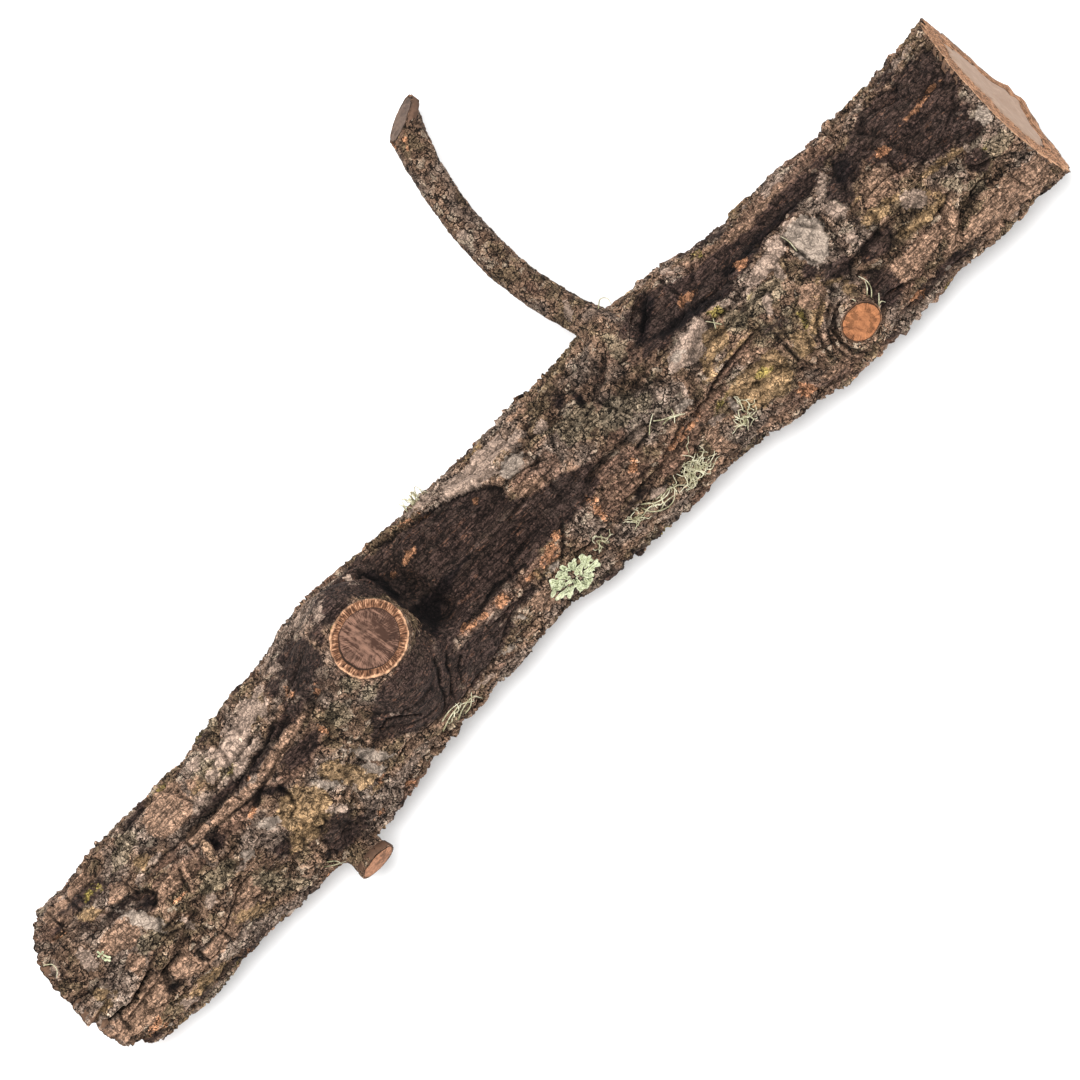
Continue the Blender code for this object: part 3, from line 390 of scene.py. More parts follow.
        (-28, 17, 19, 14, -8), (-40, 8, 7, 6, 0), (-44, 22, 3.4, 14, 0), (-8, 10, 20, 7.4, -6),
        (14, 7, 14, 4, -6), (-48, 31, 9, 7, -40), (-62, 33, 10, 4.4, 10), (-62, -4, 10, 7, 0),
        (-66, -12, 12, 5, -10), (-52, -8, 9, 6, 60), (-38, -9, 14, 3.2, 0), (-47, -15, 5.4, 3.4, 0),
        (-58, -16, 8, 3, 0), (-20, -9.4, 10, 1.6, 0), (-83, 27, 7, 7, 0), (-88, 22, 5, 3, 60),
        (77, 24, 12, 6, -8), (98, 21, 22, 6, -2), (130, 22, 22, 3.6, 0), (72, 31, 10, 1.8, 20),
        (180, 17, 18, 7, 0), (178, 6, 17, 5, -4), (185, 0.6, 10, 3.2, 14), (152, 16, 8, 5, 20),
        (188, -4, 6, 3, 0), (-172, 6.4, 3.2, 3, 0), (-197.4, 20.9, 2.6, 0.9, 0), (-155, 29.4, 8, 1.8, 12),
        (-191.4, 16, 2.2, 1.4, -60), (-109, -18, 4.6, 3, -20), (-129, -12.6, 3.6, 2.6, 0),
        (35, 27.6, 2.8, 1.8, 0), (39.6, 25, 3, 1.2, 90), (121, 1, 3.4, 2.4, 0), (134, -20, 6, 7, 0),
        (142, -9, 8, 4, 0), (146, 9, 3, 3, 0), (-143.4, 5, 3, 2.6, 0), (-121, 6, 4, 1.2, 20),
        (-115.6, 2, 1.4, 2.4, 0), (-130, 14, 18, 1.4, 0), (-180, 11.2, 9, 1.1, 0), (-185, -19, 2.2, 2, 0),
        (150, -30, 16, 1.8, 0), (-190, -28, 12, 1.2, -4), (-165, -28.4, 6, 0.9, 0), (128, -5, 6, 3, -20),
        (184, -12, 4, 5, 0), (82, 35, 6, 1.6, -10), (-110, -24, 9, 2.4, 0), (30, -12.6, 8, 1.4, 0),
        (-130, 31.6, 12, 0.8, 2), (-96, 16.5, 10, 2, 8), (-103, 6, 9, 3.4, 0), (-95, 27, 4, 2, 30),
    ],
}

# Larger areas of one finish, by their outlines as seen.
OUTLINES = {
    "white": [
        [(122.5, 15), (127, 16), (132, 15.5), (134, 11), (133, 4), (130, 1), (126.5, -1), (123.6, 3),
         (122.5, 9)],
        [(4.6, 24), (7, 26.5), (12, 27), (15, 24.5), (13, 21.5), (8, 20.6), (4.8, 21.6)],
    ],
    "tan": [
        [(-148.6, 0.6), (-147.8, 3), (-147.2, 6), (-146.4, 8.2), (-144.8, 8.2), (-144.4, 5.5), (-145.2, 2.5),
         (-145.8, 0.2), (-147, -0.6)],
    ],
    "pale": [
        [(66, 8), (69, 13), (77, 14.8), (86, 15), (86, 11), (80, 10), (76, 5), (70, 7)],
        [(-14, 32.5), (-9, 34.5), (0, 34), (6, 35), (13, 34), (14, 30), (8, 28.5), (2, 27.5), (-4, 25.5),
         (-8, 28)],
        [(-127, 22), (-122, 26), (-114, 27), (-106, 30.5), (-101, 29.5), (-101, 25), (-108, 23), (-114, 20),
         (-122, 18.5)],
        [(104, 12), (110, 14.6), (121, 16), (121, 11), (115, 9.5), (107, 9)],
    ],
    "pink": [
        [(-200, 27.5), (-192, 28.8), (-181, 29), (-178, 27), (-180, 23.5), (-186, 21), (-193, 19.5),
         (-199, 21)],
        [(-154, 20), (-152, 26), (-147, 29.5), (-141, 30), (-138, 27), (-139, 21), (-141, 16.5),
         (-147, 17.5), (-152, 17)],
        [(-190, 8.5), (-184, 9), (-179, 8), (-179, 3), (-181, 0), (-186, -0.5), (-190, 2)],
        [(-191, -2), (-186, -1.5), (-186, -8), (-190, -8.5)],
        [(-208.5, -14), (-203, -14.2), (-198, -14.5), (-193, -12.5), (-187, -10.5), (-186, -14),
         (-186.5, -20), (-190, -22), (-197, -23), (-204, -21.5), (-208.5, -19)],
        [(-183, -14.8), (-176, -13.6), (-173, -15.5), (-172.5, -21.5), (-178, -21.5), (-183, -19.5)],
        [(-171.5, -17.2), (-162, -17.2), (-162, -21.5), (-171, -22.3)],
        [(-161, -17.5), (-155, -16), (-152.5, -14), (-150, -17), (-154, -20.5), (-161, -21.5)],
        [(-151, -12), (-143, -11), (-140, -13), (-142, -17), (-149, -17.5)],
        [(-149.5, 9.5), (-149, 12.5), (-145.5, 13.8), (-141, 12), (-140, 9), (-146, 8.2)],
        [(-139, 12.2), (-127, 11.4), (-126, 8.2), (-138, 7.8)],
        [(-122, 9), (-118, 10.5), (-110, 13.5), (-101, 14.5), (-93, 15), (-92, 13), (-100, 10.5),
         (-108, 8.5), (-115, 6.2), (-121, 5.8)],
        [(-182, 13), (-180, 16.5), (-176, 18.3), (-173, 17.5), (-172.3, 13), (-177, 12.5)],
        [(170, -23.5), (184, -23), (198.5, -23.5), (199, -32), (190, -33), (176, -32), (165, -30),
         (160, -29), (166, -26)],
        [(168.5, -14.5), (165, -15.5), (162, -19), (158, -24), (152.5, -27.5), (158, -27.5), (164, -25),
         (168, -20)],
        [(136, -16), (148, -16.5), (160, -17.5), (158, -22), (148, -24), (137, -23)],
        [(113, -3), (118, -2), (121, -5), (119, -9), (114, -9.5), (111, -6.5)],
        [(59, -13), (63, -14), (64, -19), (66, -24), (61, -23), (60, -18)],
    ],
    "ochre": [
        [(-121, -2), (-116, -1), (-110, -3), (-106, -6), (-107, -12), (-112, -16), (-119, -15.5),
         (-123, -11), (-124, -6)],
        [(-103, -3), (-98, -5), (-93, -10), (-91, -14), (-96, -15), (-101, -11), (-104, -7)],
        [(76, 9), (82, 11), (88, 9), (86, 4), (80, 2), (75, 3)],
        [(73, -8), (80, -7), (88, -8), (95, -8), (96, -13), (94, -20), (88, -22), (80, -20), (77, -14)],
        [(150, -11), (156, -11.4), (162, -12.2), (167, -12), (168, -14), (160, -15.5), (154, -14.5),
         (150.5, -13)],
    ],
    "brown": [
        [(-170, 4), (-168, 8.5), (-158, 8), (-151, 8.5), (-147, 7.5), (-150, 2), (-160, 2.5)],
        [(-140, 7), (-126, 7), (-122, 5.5), (-128, 4), (-138, 3.5)],
        [(-112, 6), (-100, 9.5), (-93, 12), (-92, 4), (-100, 3), (-110, 1)],
        [(24, 5), (30, 3.5), (38, 2.5), (41, 0), (36, -2), (28, -2.5), (24, -1)],
        [(5, 20), (12, 20.5), (20, 19.5), (22, 16), (20, 10.5), (14, 10), (8, 11), (4, 14)],
        [(-32, 21.5), (-24, 22), (-14, 21), (-4, 19), (0, 16), (-8, 14.5), (-20, 15), (-30, 17)],
        [(84, 34), (92, 30), (100, 27.5), (112, 28.5), (125, 29.5), (135, 28), (139, 25), (134, 22.5),
         (120, 23), (105, 24.5), (92, 27)],
        [(45, -8.5), (52, -6.8), (60, -5.8), (70, -6), (70, -10), (62, -12), (52, -15), (44, -15.5),
         (40, -13)],
        [(78, -24.5), (90, -24), (98, -26), (110, -28.5), (116, -30), (112, -32), (100, -30.5), (88, -28.5),
         (78, -27)],
    ],
    # The dark outlines are partly dark bark of the wound and the knot's slopes, and partly painted shadow
    # under ledges, in furrows and in the groove.
    "dark": [
        [(-187, 11.4), (-178, 12.2), (-172, 11.6), (-170, 10), (-172, 9), (-180, 9.6)],
        [(-175, 10), (-170.5, 9.8), (-168, 6), (-171, 3.4), (-175, 4.4), (-177, 7)],
        [(-141, 14.6), (-130, 13.6), (-118, 15), (-108, 17.2), (-98, 20), (-95, 22), (-94, 16.5),
         (-104, 14.6), (-112, 12.6), (-122, 11.4), (-138, 12.6)],
        [(-144, 8.6), (-140, 7.2), (-138, 3), (-143, 1.5), (-144.5, 4)],
        [(-117, -17), (-112, -16.5), (-106, -19), (-106, -24), (-112, -27), (-119, -24)],
        [(-209, -24), (-205, -27), (-195, -29.4), (-180, -29.8), (-165, -28.8), (-165, -27), (-180, -27.6),
         (-195, -26.6), (-204, -24)],
        [(-92, 30), (-86, 32), (-79, 31), (-79, 24), (-84, 21), (-88, 17), (-90, 22)],
        [(-46, 36), (-38, 34.5), (-30, 33.5), (-20, 32), (-10, 29.5), (-4, 27), (2, 23), (3, 19), (1, 15.5),
         (4, 11), (12, 9), (20, 6.5), (26, 2.5), (26, -0.5), (18, -2), (8, -2.5), (-2, -2.5), (-12, -3),
         (-22, -2.5), (-34, -2.5), (-42, -3.5), (-46, -6), (-50, -9), (-48, 0), (-45, 8), (-45, 20),
         (-47, 28)],
        [(-76, 30), (-70, 34), (-60, 38), (-50, 38), (-45, 34), (-46, 22), (-48, 18), (-48.6, 24), (-53, 30),
         (-62, 31.5), (-70, 30), (-74, 26)],
        [(-80, -2), (-72, 2), (-66, 3), (-58, 4), (-52, 7), (-49, 12), (-47, 6), (-49, -4), (-53, -12),
         (-60, -17), (-70, -17), (-78, -13), (-84, -8)],
        [(66, 22), (70, 27), (74, 31), (80, 33.5), (86, 31.5), (92, 27), (100, 24.5), (112, 23), (124, 22.5),
         (134, 21.5), (139, 20.5), (134, 17.8), (124, 17.6), (112, 17.2), (104, 15), (96, 13.6), (88, 15.5),
         (80, 16), (72, 15.5), (64, 18)],
        [(162, 24), (170, 26), (180, 25), (190, 26), (198, 27), (199, 10), (196, 8), (190, 4), (182, 0),
         (176, -3), (170, 0), (166, 5), (160, 9), (158, 14), (150, 13), (146, 9), (140, 13), (146, 18),
         (152, 19), (158, 21)],
        [(-40, -9), (-30, -9.5), (-22, -10.5), (-26, -14), (-36, -17), (-48, -18), (-52, -14), (-48, -10)],
    ],
    # The black outlines are mostly painted shade on dark bark: the deepest parts of the hollows, grooves and
    # holes, the steep side of the knot's collar and the chip's shadow.
    "black": [
        [(-46.5, 14), (-38, 13), (-30, 13.5), (-22, 13.4), (-19, 12.4), (-28, 10.5), (-36, 8.5), (-41, 4.5),
         (-46, 1), (-48, 6)],
        [(-49, 33), (-45.5, 32), (-45, 24), (-46.5, 14), (-48.5, 15), (-47.5, 24)],
        [(60, 22.5), (67, 24.5), (73, 29), (79, 33), (80, 30.5), (76, 26.5), (70, 22.6), (64, 21)],
        [(70, 20.5), (80, 20.6), (90, 17.8), (98, 14.8), (92, 14), (82, 16.6), (73, 17.6)],
        [(100, 19.4), (118, 21), (136, 20.2), (134, 18.6), (118, 18.6), (104, 17)],
        [(-121, 5.6), (-117, 4.4), (-115, 1.6), (-117, 1.2), (-120.5, 3.8), (-124, 4.2)],
        [(33, 29), (37, 30), (38, 27.4), (34, 26.4)],
        [(38, 24), (41.6, 25), (41, 21), (38.4, 20.6)],
        [(-174, 7.4), (-171, 7), (-170.4, 4.6), (-173.6, 4.4)],
        [(-144.4, 8.4), (-143, 7), (-142.6, 3.6), (-144.6, 0.2), (-146.4, -1.6), (-145, 2), (-144.2, 5)],
        [(150, 20), (156, 18), (153, 14), (149, 12), (147, 15)],
    ],
}
# Broad areas where all the bark is darker or lighter: the share of light kept and the outline.
TONES = [
    (0.72, [(-92, 28), (-80, 30), (-76, 26), (-76, 8), (-70, 2), (-82, -6), (-92, 0)]),
    (0.74, [(24, 33), (50, 36), (64, 24), (66, 6), (52, 2), (40, 4), (30, 6), (24, 20)]),
    (0.8, [(-212, 20), (-200, 16), (-198, -6), (-210, -10)]),
    (1.15, [(-135, 30), (-100, 33), (-98, 22), (-118, 17), (-138, 18)]),
    (0.8, [(40, 20), (66, 18), (64, -4), (44, -6), (36, 4)]),
    (0.74, [(46, 39), (72, 39), (72, 132), (44, 132)]),
    (0.72, [(-46, 32), (-28, 30), (-6, 25), (2, 20), (0, 14), (-20, 14), (-44, 14)]),
    (1.5, [(-33, 21.5), (-24, 22.4), (-14, 21.4), (-4, 19), (1, 16), (-8, 14.5), (-20, 15), (-30, 17)]),
    (0.8, [(-206, 22), (-198, 22), (-186, 14), (-190, 10), (-204, 12)]),
]

# The knot that faces up: its sawn disc's middle, half-widths and lean towards +Y.
KNOT_PLACE = (-62.0, 16.3, 72.5)
KNOT_RADII = (13.3, 12.8)
KNOT_LEAN = math.radians(17)
KNOT_DEPTH = 20.0
SMALL_STUB_PLACE = (121.3, -22.7, 59.2)
SMALL_STUB_RADIUS = 7.3
SMALL_STUB_DEPTH = 11.0
SMALL_STUB_LEAN = math.radians(-37)
# How high the bark may stand over the plane of a sawn disc, by the distance from its middle.
KNOT_COVER = ([12.4, 14.2, 17, 23], [-1.6, -0.3, 0.4, 9])
SMALL_STUB_COVER = ([6.6, 8, 10, 14], [-1.2, -0.3, 0.4, 8])
COVER_REACH = 14
# Points round the bark of each sawn limb.
LIMB_SIDES = {"knot": 110, "small_stub": 70, "side_stub": 60, "twig": 60}
SIDE_STUB_PATH = [(-111.5, -20, 29.5), (-111.3, -28, 32), (-110.6, -33.5, 34), (-110.2, -36.6, 35.4)]
SIDE_STUB_RADII = [7.4, 6.4, 6.6, 7.2]
CHIP_PATH = [(-147.8, 0.5, 55), (-147, 2.5, 61.0), (-146, 5, 63.4), (-145, 7.8, 62.8)]
CHIP_RADII = [1.7, 1.9, 1.8, 1.4]
TWIGLET_PATH = [(64, 27, 48), (68.5, 31.5, 50), (72.5, 33, 49), (76, 34, 48.5)]
TWIGLET_RADII = [2.4, 1.6, 1.3, 1.25]
TWIG_PATH = [
    (61.5, 18, 44), (60.5, 28, 45), (59.8, 36, 41.5), (57.8, 44, 36.5), (55.7, 51, 33),
    (53.9, 60, 30.5), (52.6, 70, 29), (52.5, 80, 28), (53.0, 90, 27), (54.5, 100, 26),
    (56.6, 110, 25.5), (59.3, 119, 25), (62.3, 127.2, 25),
]
TWIG_RADII = [8.5, 8.0, 6.8, 5.6, 5.5, 5.6, 5.5, 5.5, 5.4, 5.4, 5.6, 5.9, 6.3]
TWIG_CUT = (-0.34, 0.88, 0.33)
SIDE_STUB_CUT = (0.06, -0.96, 0.27)

# Beard lichens: middle, reach along and round the trunk, number of threads and how far they stand out.
TUFTS = {
    "beard_lichen_large": ((50, -19.4), (5.8, 4.2), 30, 1.5),
    "beard_lichen_middle": ((36, -17.8), (7, 4.4), 4, 1),
    "beard_lichen_right": ((73, -18.6), (4.2, 4), 13, 1),
    "beard_lichen_knot": ((-57, -20), (6.4, 3), 3, 0.8),
    "beard_lichen_edge": ((-21.5, 36.6), (2.6, 3.2), 8, 3),
}
SMALL_TUFTS = [
    ((13, -13), (3.4, 2.4), 8, 0.6),
    ((25.5, -17.4), (3, 2.6), 9, 0.6),
]
# Single threads of the beard lichens, as curves through seen places.
THREADS = {
    "beard_lichen_middle": [
        [(29.5, -15.6), (31, -18.6), (34.5, -20.8), (38, -21), (41, -18.8), (41.8, -17)],
        [(31, -15.2), (34, -17.4), (38, -18.2), (41, -17)],
        [(30, -14.4), (32.6, -16.4), (33, -19)],
        [(33, -20.4), (36, -19.4), (39.5, -19.8)],
        [(28, -17.4), (31.4, -17), (34.6, -18.8)],
    ],
    "beard_lichen_knot": [
        [(-66, -21.4), (-61, -19.7), (-56, -19.4), (-52, -21.6)],
        [(-60, -22.2), (-56, -20.6), (-51.5, -20.3), (-49.6, -22.8)],
        [(-64, -19), (-60, -18.2), (-55.8, -18.6)],
        [(-57, -22.4), (-54, -21.8), (-50.8, -19)],
    ],
    "beard_lichen_stub": [
        [(127, -19.8), (129, -19.3), (131, -17.2), (131.7, -14.6), (130.9, -11.6)],
        [(127, -19.8), (128.4, -18), (130.2, -16.2), (131.3, -14.2)],
        [(128.8, -22.8), (130.2, -21.6), (131.7, -20)],
        [(128.8, -22.8), (130.4, -22.4), (131.2, -23.6)],
        [(123.8, -17.6), (124.6, -16.4), (124.2, -15.2)],
    ],
}
LOOSE_THREADS = [
    [(-209.6, 15.4), (-207.4, 13.6), (-207.6, 11.2), (-209.4, 9.6)],
    [(-123.6, -25.4), (-120.4, -27.6), (-115.6, -29.8)],
    [(-121.8, -25), (-119.6, -26.8), (-118.8, -28.8)],
    [(64.4, 39.6), (67, 41.4), (68.8, 40), (68.4, 37.6)],
    [(51.6, 1.8), (54, 0), (57, -1.4), (60, -3.2)],
    [(53, -1.2), (56, -1.4), (60.6, -3.8)],
    [(58.4, 0.4), (57.6, -1.8), (56, -3.6)],
    [(47.6, -0.6), (50, 1.6), (53, 3.4)],
    [(86.6, 8.6), (88.4, 11.6)],
    [(89, 8.2), (87.6, 10.4), (86, 12.6)],
    [(122.6, 8), (122.9, 12), (122.2, 15)],
]
SEAT_GAP = 0.1
LOBE_HEIGHT = 0.3
LOBE_THICKNESS = 0.35
# Where the camera and the lamp stand, in metres, and how far the floor reaches.
CAMERA_PLACE = (-0.0009, -0.0078, 2.031)
CAMERA_BEARING = math.radians(44.745)
LAMP_PLACE = (-0.09, 0.34, 2.4)
LAMP_SIZE = 0.8
FLOOR_REACH = 6


def noise(points, size, seed):
    """Smooth noise from about -1 to 1: random slopes on a lattice of cells of this size, blended."""
    draw = np.random.default_rng(seed)
    order = np.tile(draw.permutation(256), 2)
    slopes = draw.normal(size=(256, 3))
    slopes /= np.linalg.norm(slopes, axis=1, keepdims=True)
    places = np.asarray(points) / np.asarray(size)
    cell = np.floor(places).astype(int)
    inside = places - cell
    ease = inside**3 * (inside * (inside * 6 - 15) + 10)
    total = np.zeros(places.shape[:-1])
    for corner in product((0, 1), repeat=3):
        x, y, z = np.moveaxis((cell + corner) & 255, -1, 0)
        slope = slopes[order[order[order[x] + y] + z]]
        share = np.prod(np.where(corner, ease, 1 - ease), axis=-1)
        total += share * ((inside - corner) * slope).sum(-1)
    return total * 1.7


def scales(points, size, seed):
    """Scattered scales: one random middle in each lattice cell, and each point belongs to the nearest.

    Gives how far the next middle is beyond the nearest, a random number of the scale, and its random
    tilt: the way from its middle times a slope of its own.
    """
    draw = np.random.default_rng(seed)
    order = np.tile(draw.permutation(256), 2)
    middles = draw.uniform(0.08, 0.92, (256, 3))
    slopes = draw.normal(size=(256, 3))
    numbers = draw.uniform(0, 1, 256)
    places = np.asarray(points) / np.asarray(size)
    cell = np.floor(places).astype(int)
    first = np.full(places.shape[:-1], 9.0)
    second = first.copy()
    number = np.zeros(first.shape)
    tilt = np.zeros(first.shape)
    for step in product((-1, 0, 1), repeat=3):
        x, y, z = np.moveaxis((cell + step) & 255, -1, 0)
        key = order[order[order[x] + y] + z]
        way = places - (cell + step + middles[key])
        distance = np.sqrt((way**2).sum(-1))
        nearer = distance < first
        second = np.where(nearer, first, np.minimum(second, distance))
        first = np.where(nearer, distance, first)
        number = np.where(nearer, numbers[key], number)
        tilt = np.where(nearer, (way * slopes[key]).sum(-1), tilt)
    return second - first, number, tilt


def along_curve(where, knots, values):
    """Values at the knots, joined by a smooth cubic curve and read at these places."""
    knots = np.asarray(knots, float)
    values = np.asarray(values, float)
    slopes = np.gradient(values, knots, axis=0)
    i = np.clip(np.searchsorted(knots, where) - 1, 0, len(knots) - 2)
    span = knots[i + 1] - knots[i]
    t = np.clip((where - knots[i]) / span, 0, 1)
    if values.ndim > 1:
        span = span[..., None]
        t = t[..., None]
    return (
        values[i] * (2 * t**3 - 3 * t**2 + 1)
        + slopes[i] * span * (t**3 - 2 * t**2 + t)
        + values[i + 1] * (3 * t**2 - 2 * t**3)
        + slopes[i + 1] * span * (t**3 - t**2)
    )


def trunk_section(x):
    """Middle across, half-width, half-height, height of the axis and nearness to a flat pad."""
    low, high, thick = (along_curve(x, TRUNK_STATIONS[:, 0], TRUNK_STATIONS[:, i]) for i in (1, 2, 3))
    pad = np.max([np.exp(-(((x - p) / PAD_LENGTH) ** 4)) for p in PAD_PLACES], axis=0)
    axis = thick / 2 - PAD_SINK + ARCH * (1 - pad)
    return (low + high) / 2, (high - low) / 2, thick / 2, axis, pad


def on_trunk(x, y):
    """Place along the trunk, before its ends lean, of a place that is seen, and its angle from the top."""
    shrink, place = 1.0, x
    for _ in range(6):
        middle, half, rise, _, _ = trunk_section(place)
        sine = np.clip((y * shrink - middle) / half, -0.999, 0.999)
        above = rise * np.sqrt(1 - sine**2)
        shrink = 1 - above / EYE_HEIGHT
        place = x * shrink - end_lean(place, above) * above
    return place, np.arcsin(sine)


def seen(x, y, z):
    """True place, in millimetres, of a point at height z that is seen at x, y."""
    shrink = 1 - (z - EYE_LEVEL) / EYE_HEIGHT
    return np.array([x * shrink, y * shrink, z])


def seen_from(points):
    """Place at which the eye sees each point, the other way round from seen()."""
    return points[..., :2] / (1 - (points[..., 2:] - EYE_LEVEL) / EYE_HEIGHT)


def stroke(x, angle, path):
    """A ridge or groove along a path: height over a soft-edged band round the nearest point of it."""
    knots = [(*on_trunk(px, py), width, height) for px, py, width, height in path]
    if len(knots) == 1:
        knots = knots * 2
    rows, best, height, _ = near_path(x, angle, knots, 2.6 * max(knot[2] for knot in knots))
    total = np.zeros(x.shape)
    total[rows] = height / (1 + best**4)
    return total


def arc_path(centre, radius, first, last, width, height):
    """A stroke's path round part of a circle."""
    bearings = np.radians(np.linspace(first, last, 9))
    fade = np.sin(np.linspace(0.15, 0.85, 9) * math.pi)
    return [(centre[0] + radius * math.cos(b), centre[1] + radius * math.sin(b), width, height * f)
            for b, f in zip(bearings, fade)]


def ledge(x, angle, path, rise, fall):
    """A step along a path, in millimetres.

    Left of the path the bark is raised and falls away over a distance; right of it runs a narrow gutter.
    Past either end of the path the step fades out. Also gives the gutter's share, in which shade is painted
    later.
    """
    knots = [(*on_trunk(px, py), 1, 0) for px, py in path]
    rows, best, _, side = near_path(x, angle, knots, fall * 3)
    near_x, near_angle = x[rows], angle[rows]
    ends = (knots[0], knots[-1])
    away = np.min([np.hypot(near_x - end[0], (near_angle - end[1]) * 31) for end in ends], axis=0)
    length = np.clip(away / 5, 0, 1)
    wobble = 1 + 0.35 * np.sin(near_x * 0.9 + 2 * np.sin(near_x * 0.37)) * np.cos(near_angle * 9)
    raised = bell(best, fall, 1.5) * np.clip(side * 1e3, 0, 1) * wobble
    gutter = bell(best, 0.8) * np.clip(-side * 1e3, 0, 1) * length
    total, crease_shade = np.zeros(x.shape), np.zeros(x.shape)
    total[rows] = rise * raised * length - 0.5 * rise * gutter
    crease_shade[rows] = gutter
    return total, crease_shade


def coarse_bark(x, angle):
    """Height of the bark over the smooth trunk, in millimetres: furrows, cracks, lumps and known forms.

    Furrows and cracks run where a bent noise crosses zero, and are deeper in some areas than in others.
    """
    middle, half, rise, axis, pad = trunk_section(x)
    points = np.stack([x, middle + half * np.sin(angle), axis + rise * np.cos(angle)], axis=-1)
    bent = points + noise(points, (17, 17, 17), 3)[..., None] * np.array([6, 3, 3])
    furrowed = np.clip(0.6 + 1.3 * noise(points, PATCH_SIZE, 14), 0, 1)
    cracked = np.clip(0.4 + 1.5 * noise(points, PATCH_SIZE, 15), 0, 1)
    relief = LUMP_HEIGHT * noise(points, LUMP_SIZE, 13) + KNOB_HEIGHT * noise(bent, KNOB_SIZE, 16)
    relief -= FURROW_DEPTH * furrowed * bell(noise(bent, FURROW_SIZE, 11), FURROW_WIDTH)
    relief -= CRACK_DEPTH * cracked * bell(noise(bent, CRACK_SIZE, 12), CRACK_WIDTH)
    collar = stroke(x, angle, SMOOTHED_COLLAR)
    relief *= 1 - 0.75 * collar
    for path in (*HOLLOWS.values(), *RIDGES.values()):
        relief += stroke(x, angle, path)
    under = pad * np.clip((-np.cos(angle) - 0.86) / 0.08, 0, 1)
    return relief, collar, under, points


# Fine layers: size, seed, how far they follow the bend, height, tilt, and the depth and width of their gaps.
FINE_LAYERS = {
    "plates": ((13, 7.5, 7.5), 31, 2.6, 0.7, 0.45, 0.9, 0.08),
    "little scales": ((4.6, 2.4, 2.4), 32, 3.4, 0.44, 0.42, 0.5, 0.09),
    "crumbs": ((1.7, 1.25, 1.25), 35, 0.5, 0.14, 0.12, 0.1, 0.14),
}


def end_lean(x, above):
    """How far a section leans along the branch for each millimetre above the axis."""
    at_left = np.clip(1 - (x - LEFT_END) / LEAN_REACH, 0, 1) ** 2
    at_right = np.clip(1 - (RIGHT_END - x) / LEAN_REACH, 0, 1) ** 2
    return -np.where(above > 0, SAWN_LEAN, SAWN_LEAN_BELOW) * at_right - OBLIQUE_LEAN * at_left


def fine_bark(points, smooth):
    """Flakes, plates with cracked edges, small tilted scales and grit, in millimetres.

    Each plate and scale keeps its own height and tilt, and sinks at its edge. A flake rises slowly and
    drops at once, as a saw tooth of a smooth field. Gives the height, the plates' numbers, and how deep
    in a crack each point is.
    """
    bend = np.stack([noise(points, (6, 6, 6), seed) for seed in (21, 22, 23)], axis=-1)
    platy = np.clip(0.5 + 1.2 * noise(points, (30, 20, 20), 24), 0.1, 1)
    flaky = np.clip(0.45 + 1.6 * noise(points, (38, 22, 22), 34), 0, 1)
    tooth = (noise(points + bend * 2.6, (30, 12, 12), 33) * 2.4) % 1.0
    edge = bell(tooth, 0.06) * flaky
    height = flaky * 1.1 * (tooth**1.4 - 0.4) - 0.4 * edge
    gaps, numbers = {}, {}
    for layer, (size, seed, bent, rise, tilted, depth, width) in FINE_LAYERS.items():
        gaps[layer], numbers[layer], tilt = scales(points + bend * bent, size, seed)
        own = rise * (numbers[layer] - 0.5) + tilted * tilt - depth * bell(gaps[layer], width)
        height += own * (platy if layer == "plates" else 1)
    crack = np.clip(0.8 * edge + 0.9 * platy * bell(gaps["plates"], 0.07), 0, 1)
    crack = np.maximum(crack, 0.6 * bell(gaps["little scales"], 0.08))
    return height * (1 - 0.55 * smooth), numbers["plates"], crack * (1 - 0.5 * smooth)


def inside_ellipse(flat, x, y, long, short, bearing):
    """How far inside an ellipse each seen place is: one less its share of the way out, times its width."""
    turned = math.radians(bearing)
    off_x, off_y = flat[..., 0] - x, flat[..., 1] - y
    a = (off_x * math.cos(turned) + off_y * math.sin(turned)) / long
    b = (off_y * math.cos(turned) - off_x * math.sin(turned)) / short
    return (1 - np.hypot(a, b)) * max(min(long, short), 1.0) / 2.4


def turns(count, fine_share=0.81, fine_reach=1.75):
    """Angles round the trunk from the top: most of them within reach of the top, the rest below."""
    fine = int(count * fine_share)
    top = np.linspace(-fine_reach, fine_reach, fine)
    below = np.linspace(fine_reach, 2 * math.pi - fine_reach, count - fine + 2)[1:-1]
    below = np.where(below > math.pi, below - 2 * math.pi, below)
    return np.concatenate([top, below])


def blurred(field, steps):
    """The field averaged over its neighbours, a number of times, closed round the trunk."""
    for _ in range(steps):
        field = (np.roll(field, 1, 1) + 2 * field + np.roll(field, -1, 1)) / 4
        padded = np.pad(field, ((1, 1), (0, 0)), mode="edge")
        field = (padded[:-2] + 2 * field + padded[2:]) / 4
    return field


def inside_outline(flat, corners):
    """How far inside a closed outline each seen place is, in millimetres: below 0 outside it."""
    corners = np.asarray(corners, float)
    low, high = corners.min(axis=0) - 4, corners.max(axis=0) + 4
    found = np.full(flat.shape[:-1], -4.0)
    near = ((flat > low) & (flat < high)).all(axis=-1)
    spots = flat[near]
    nearest = np.full(len(spots), 1e9)
    inside = np.zeros(len(spots), bool)
    for start, end in zip(corners, np.roll(corners, -1, 0)):
        way = end - start
        off = spots - start
        t = np.clip(off @ way / (way @ way), 0, 1)
        nearest = np.minimum(nearest, ((off - t[:, None] * way) ** 2).sum(-1))
        crossing = start[0] + way[0] * off[:, 1] / (way[1] or 1e-9)
        inside ^= ((start[1] > spots[:, 1]) != (end[1] > spots[:, 1])) & (spots[:, 0] < crossing)
    found[near] = np.sqrt(nearest) * np.where(inside, 1, -1)
    return found


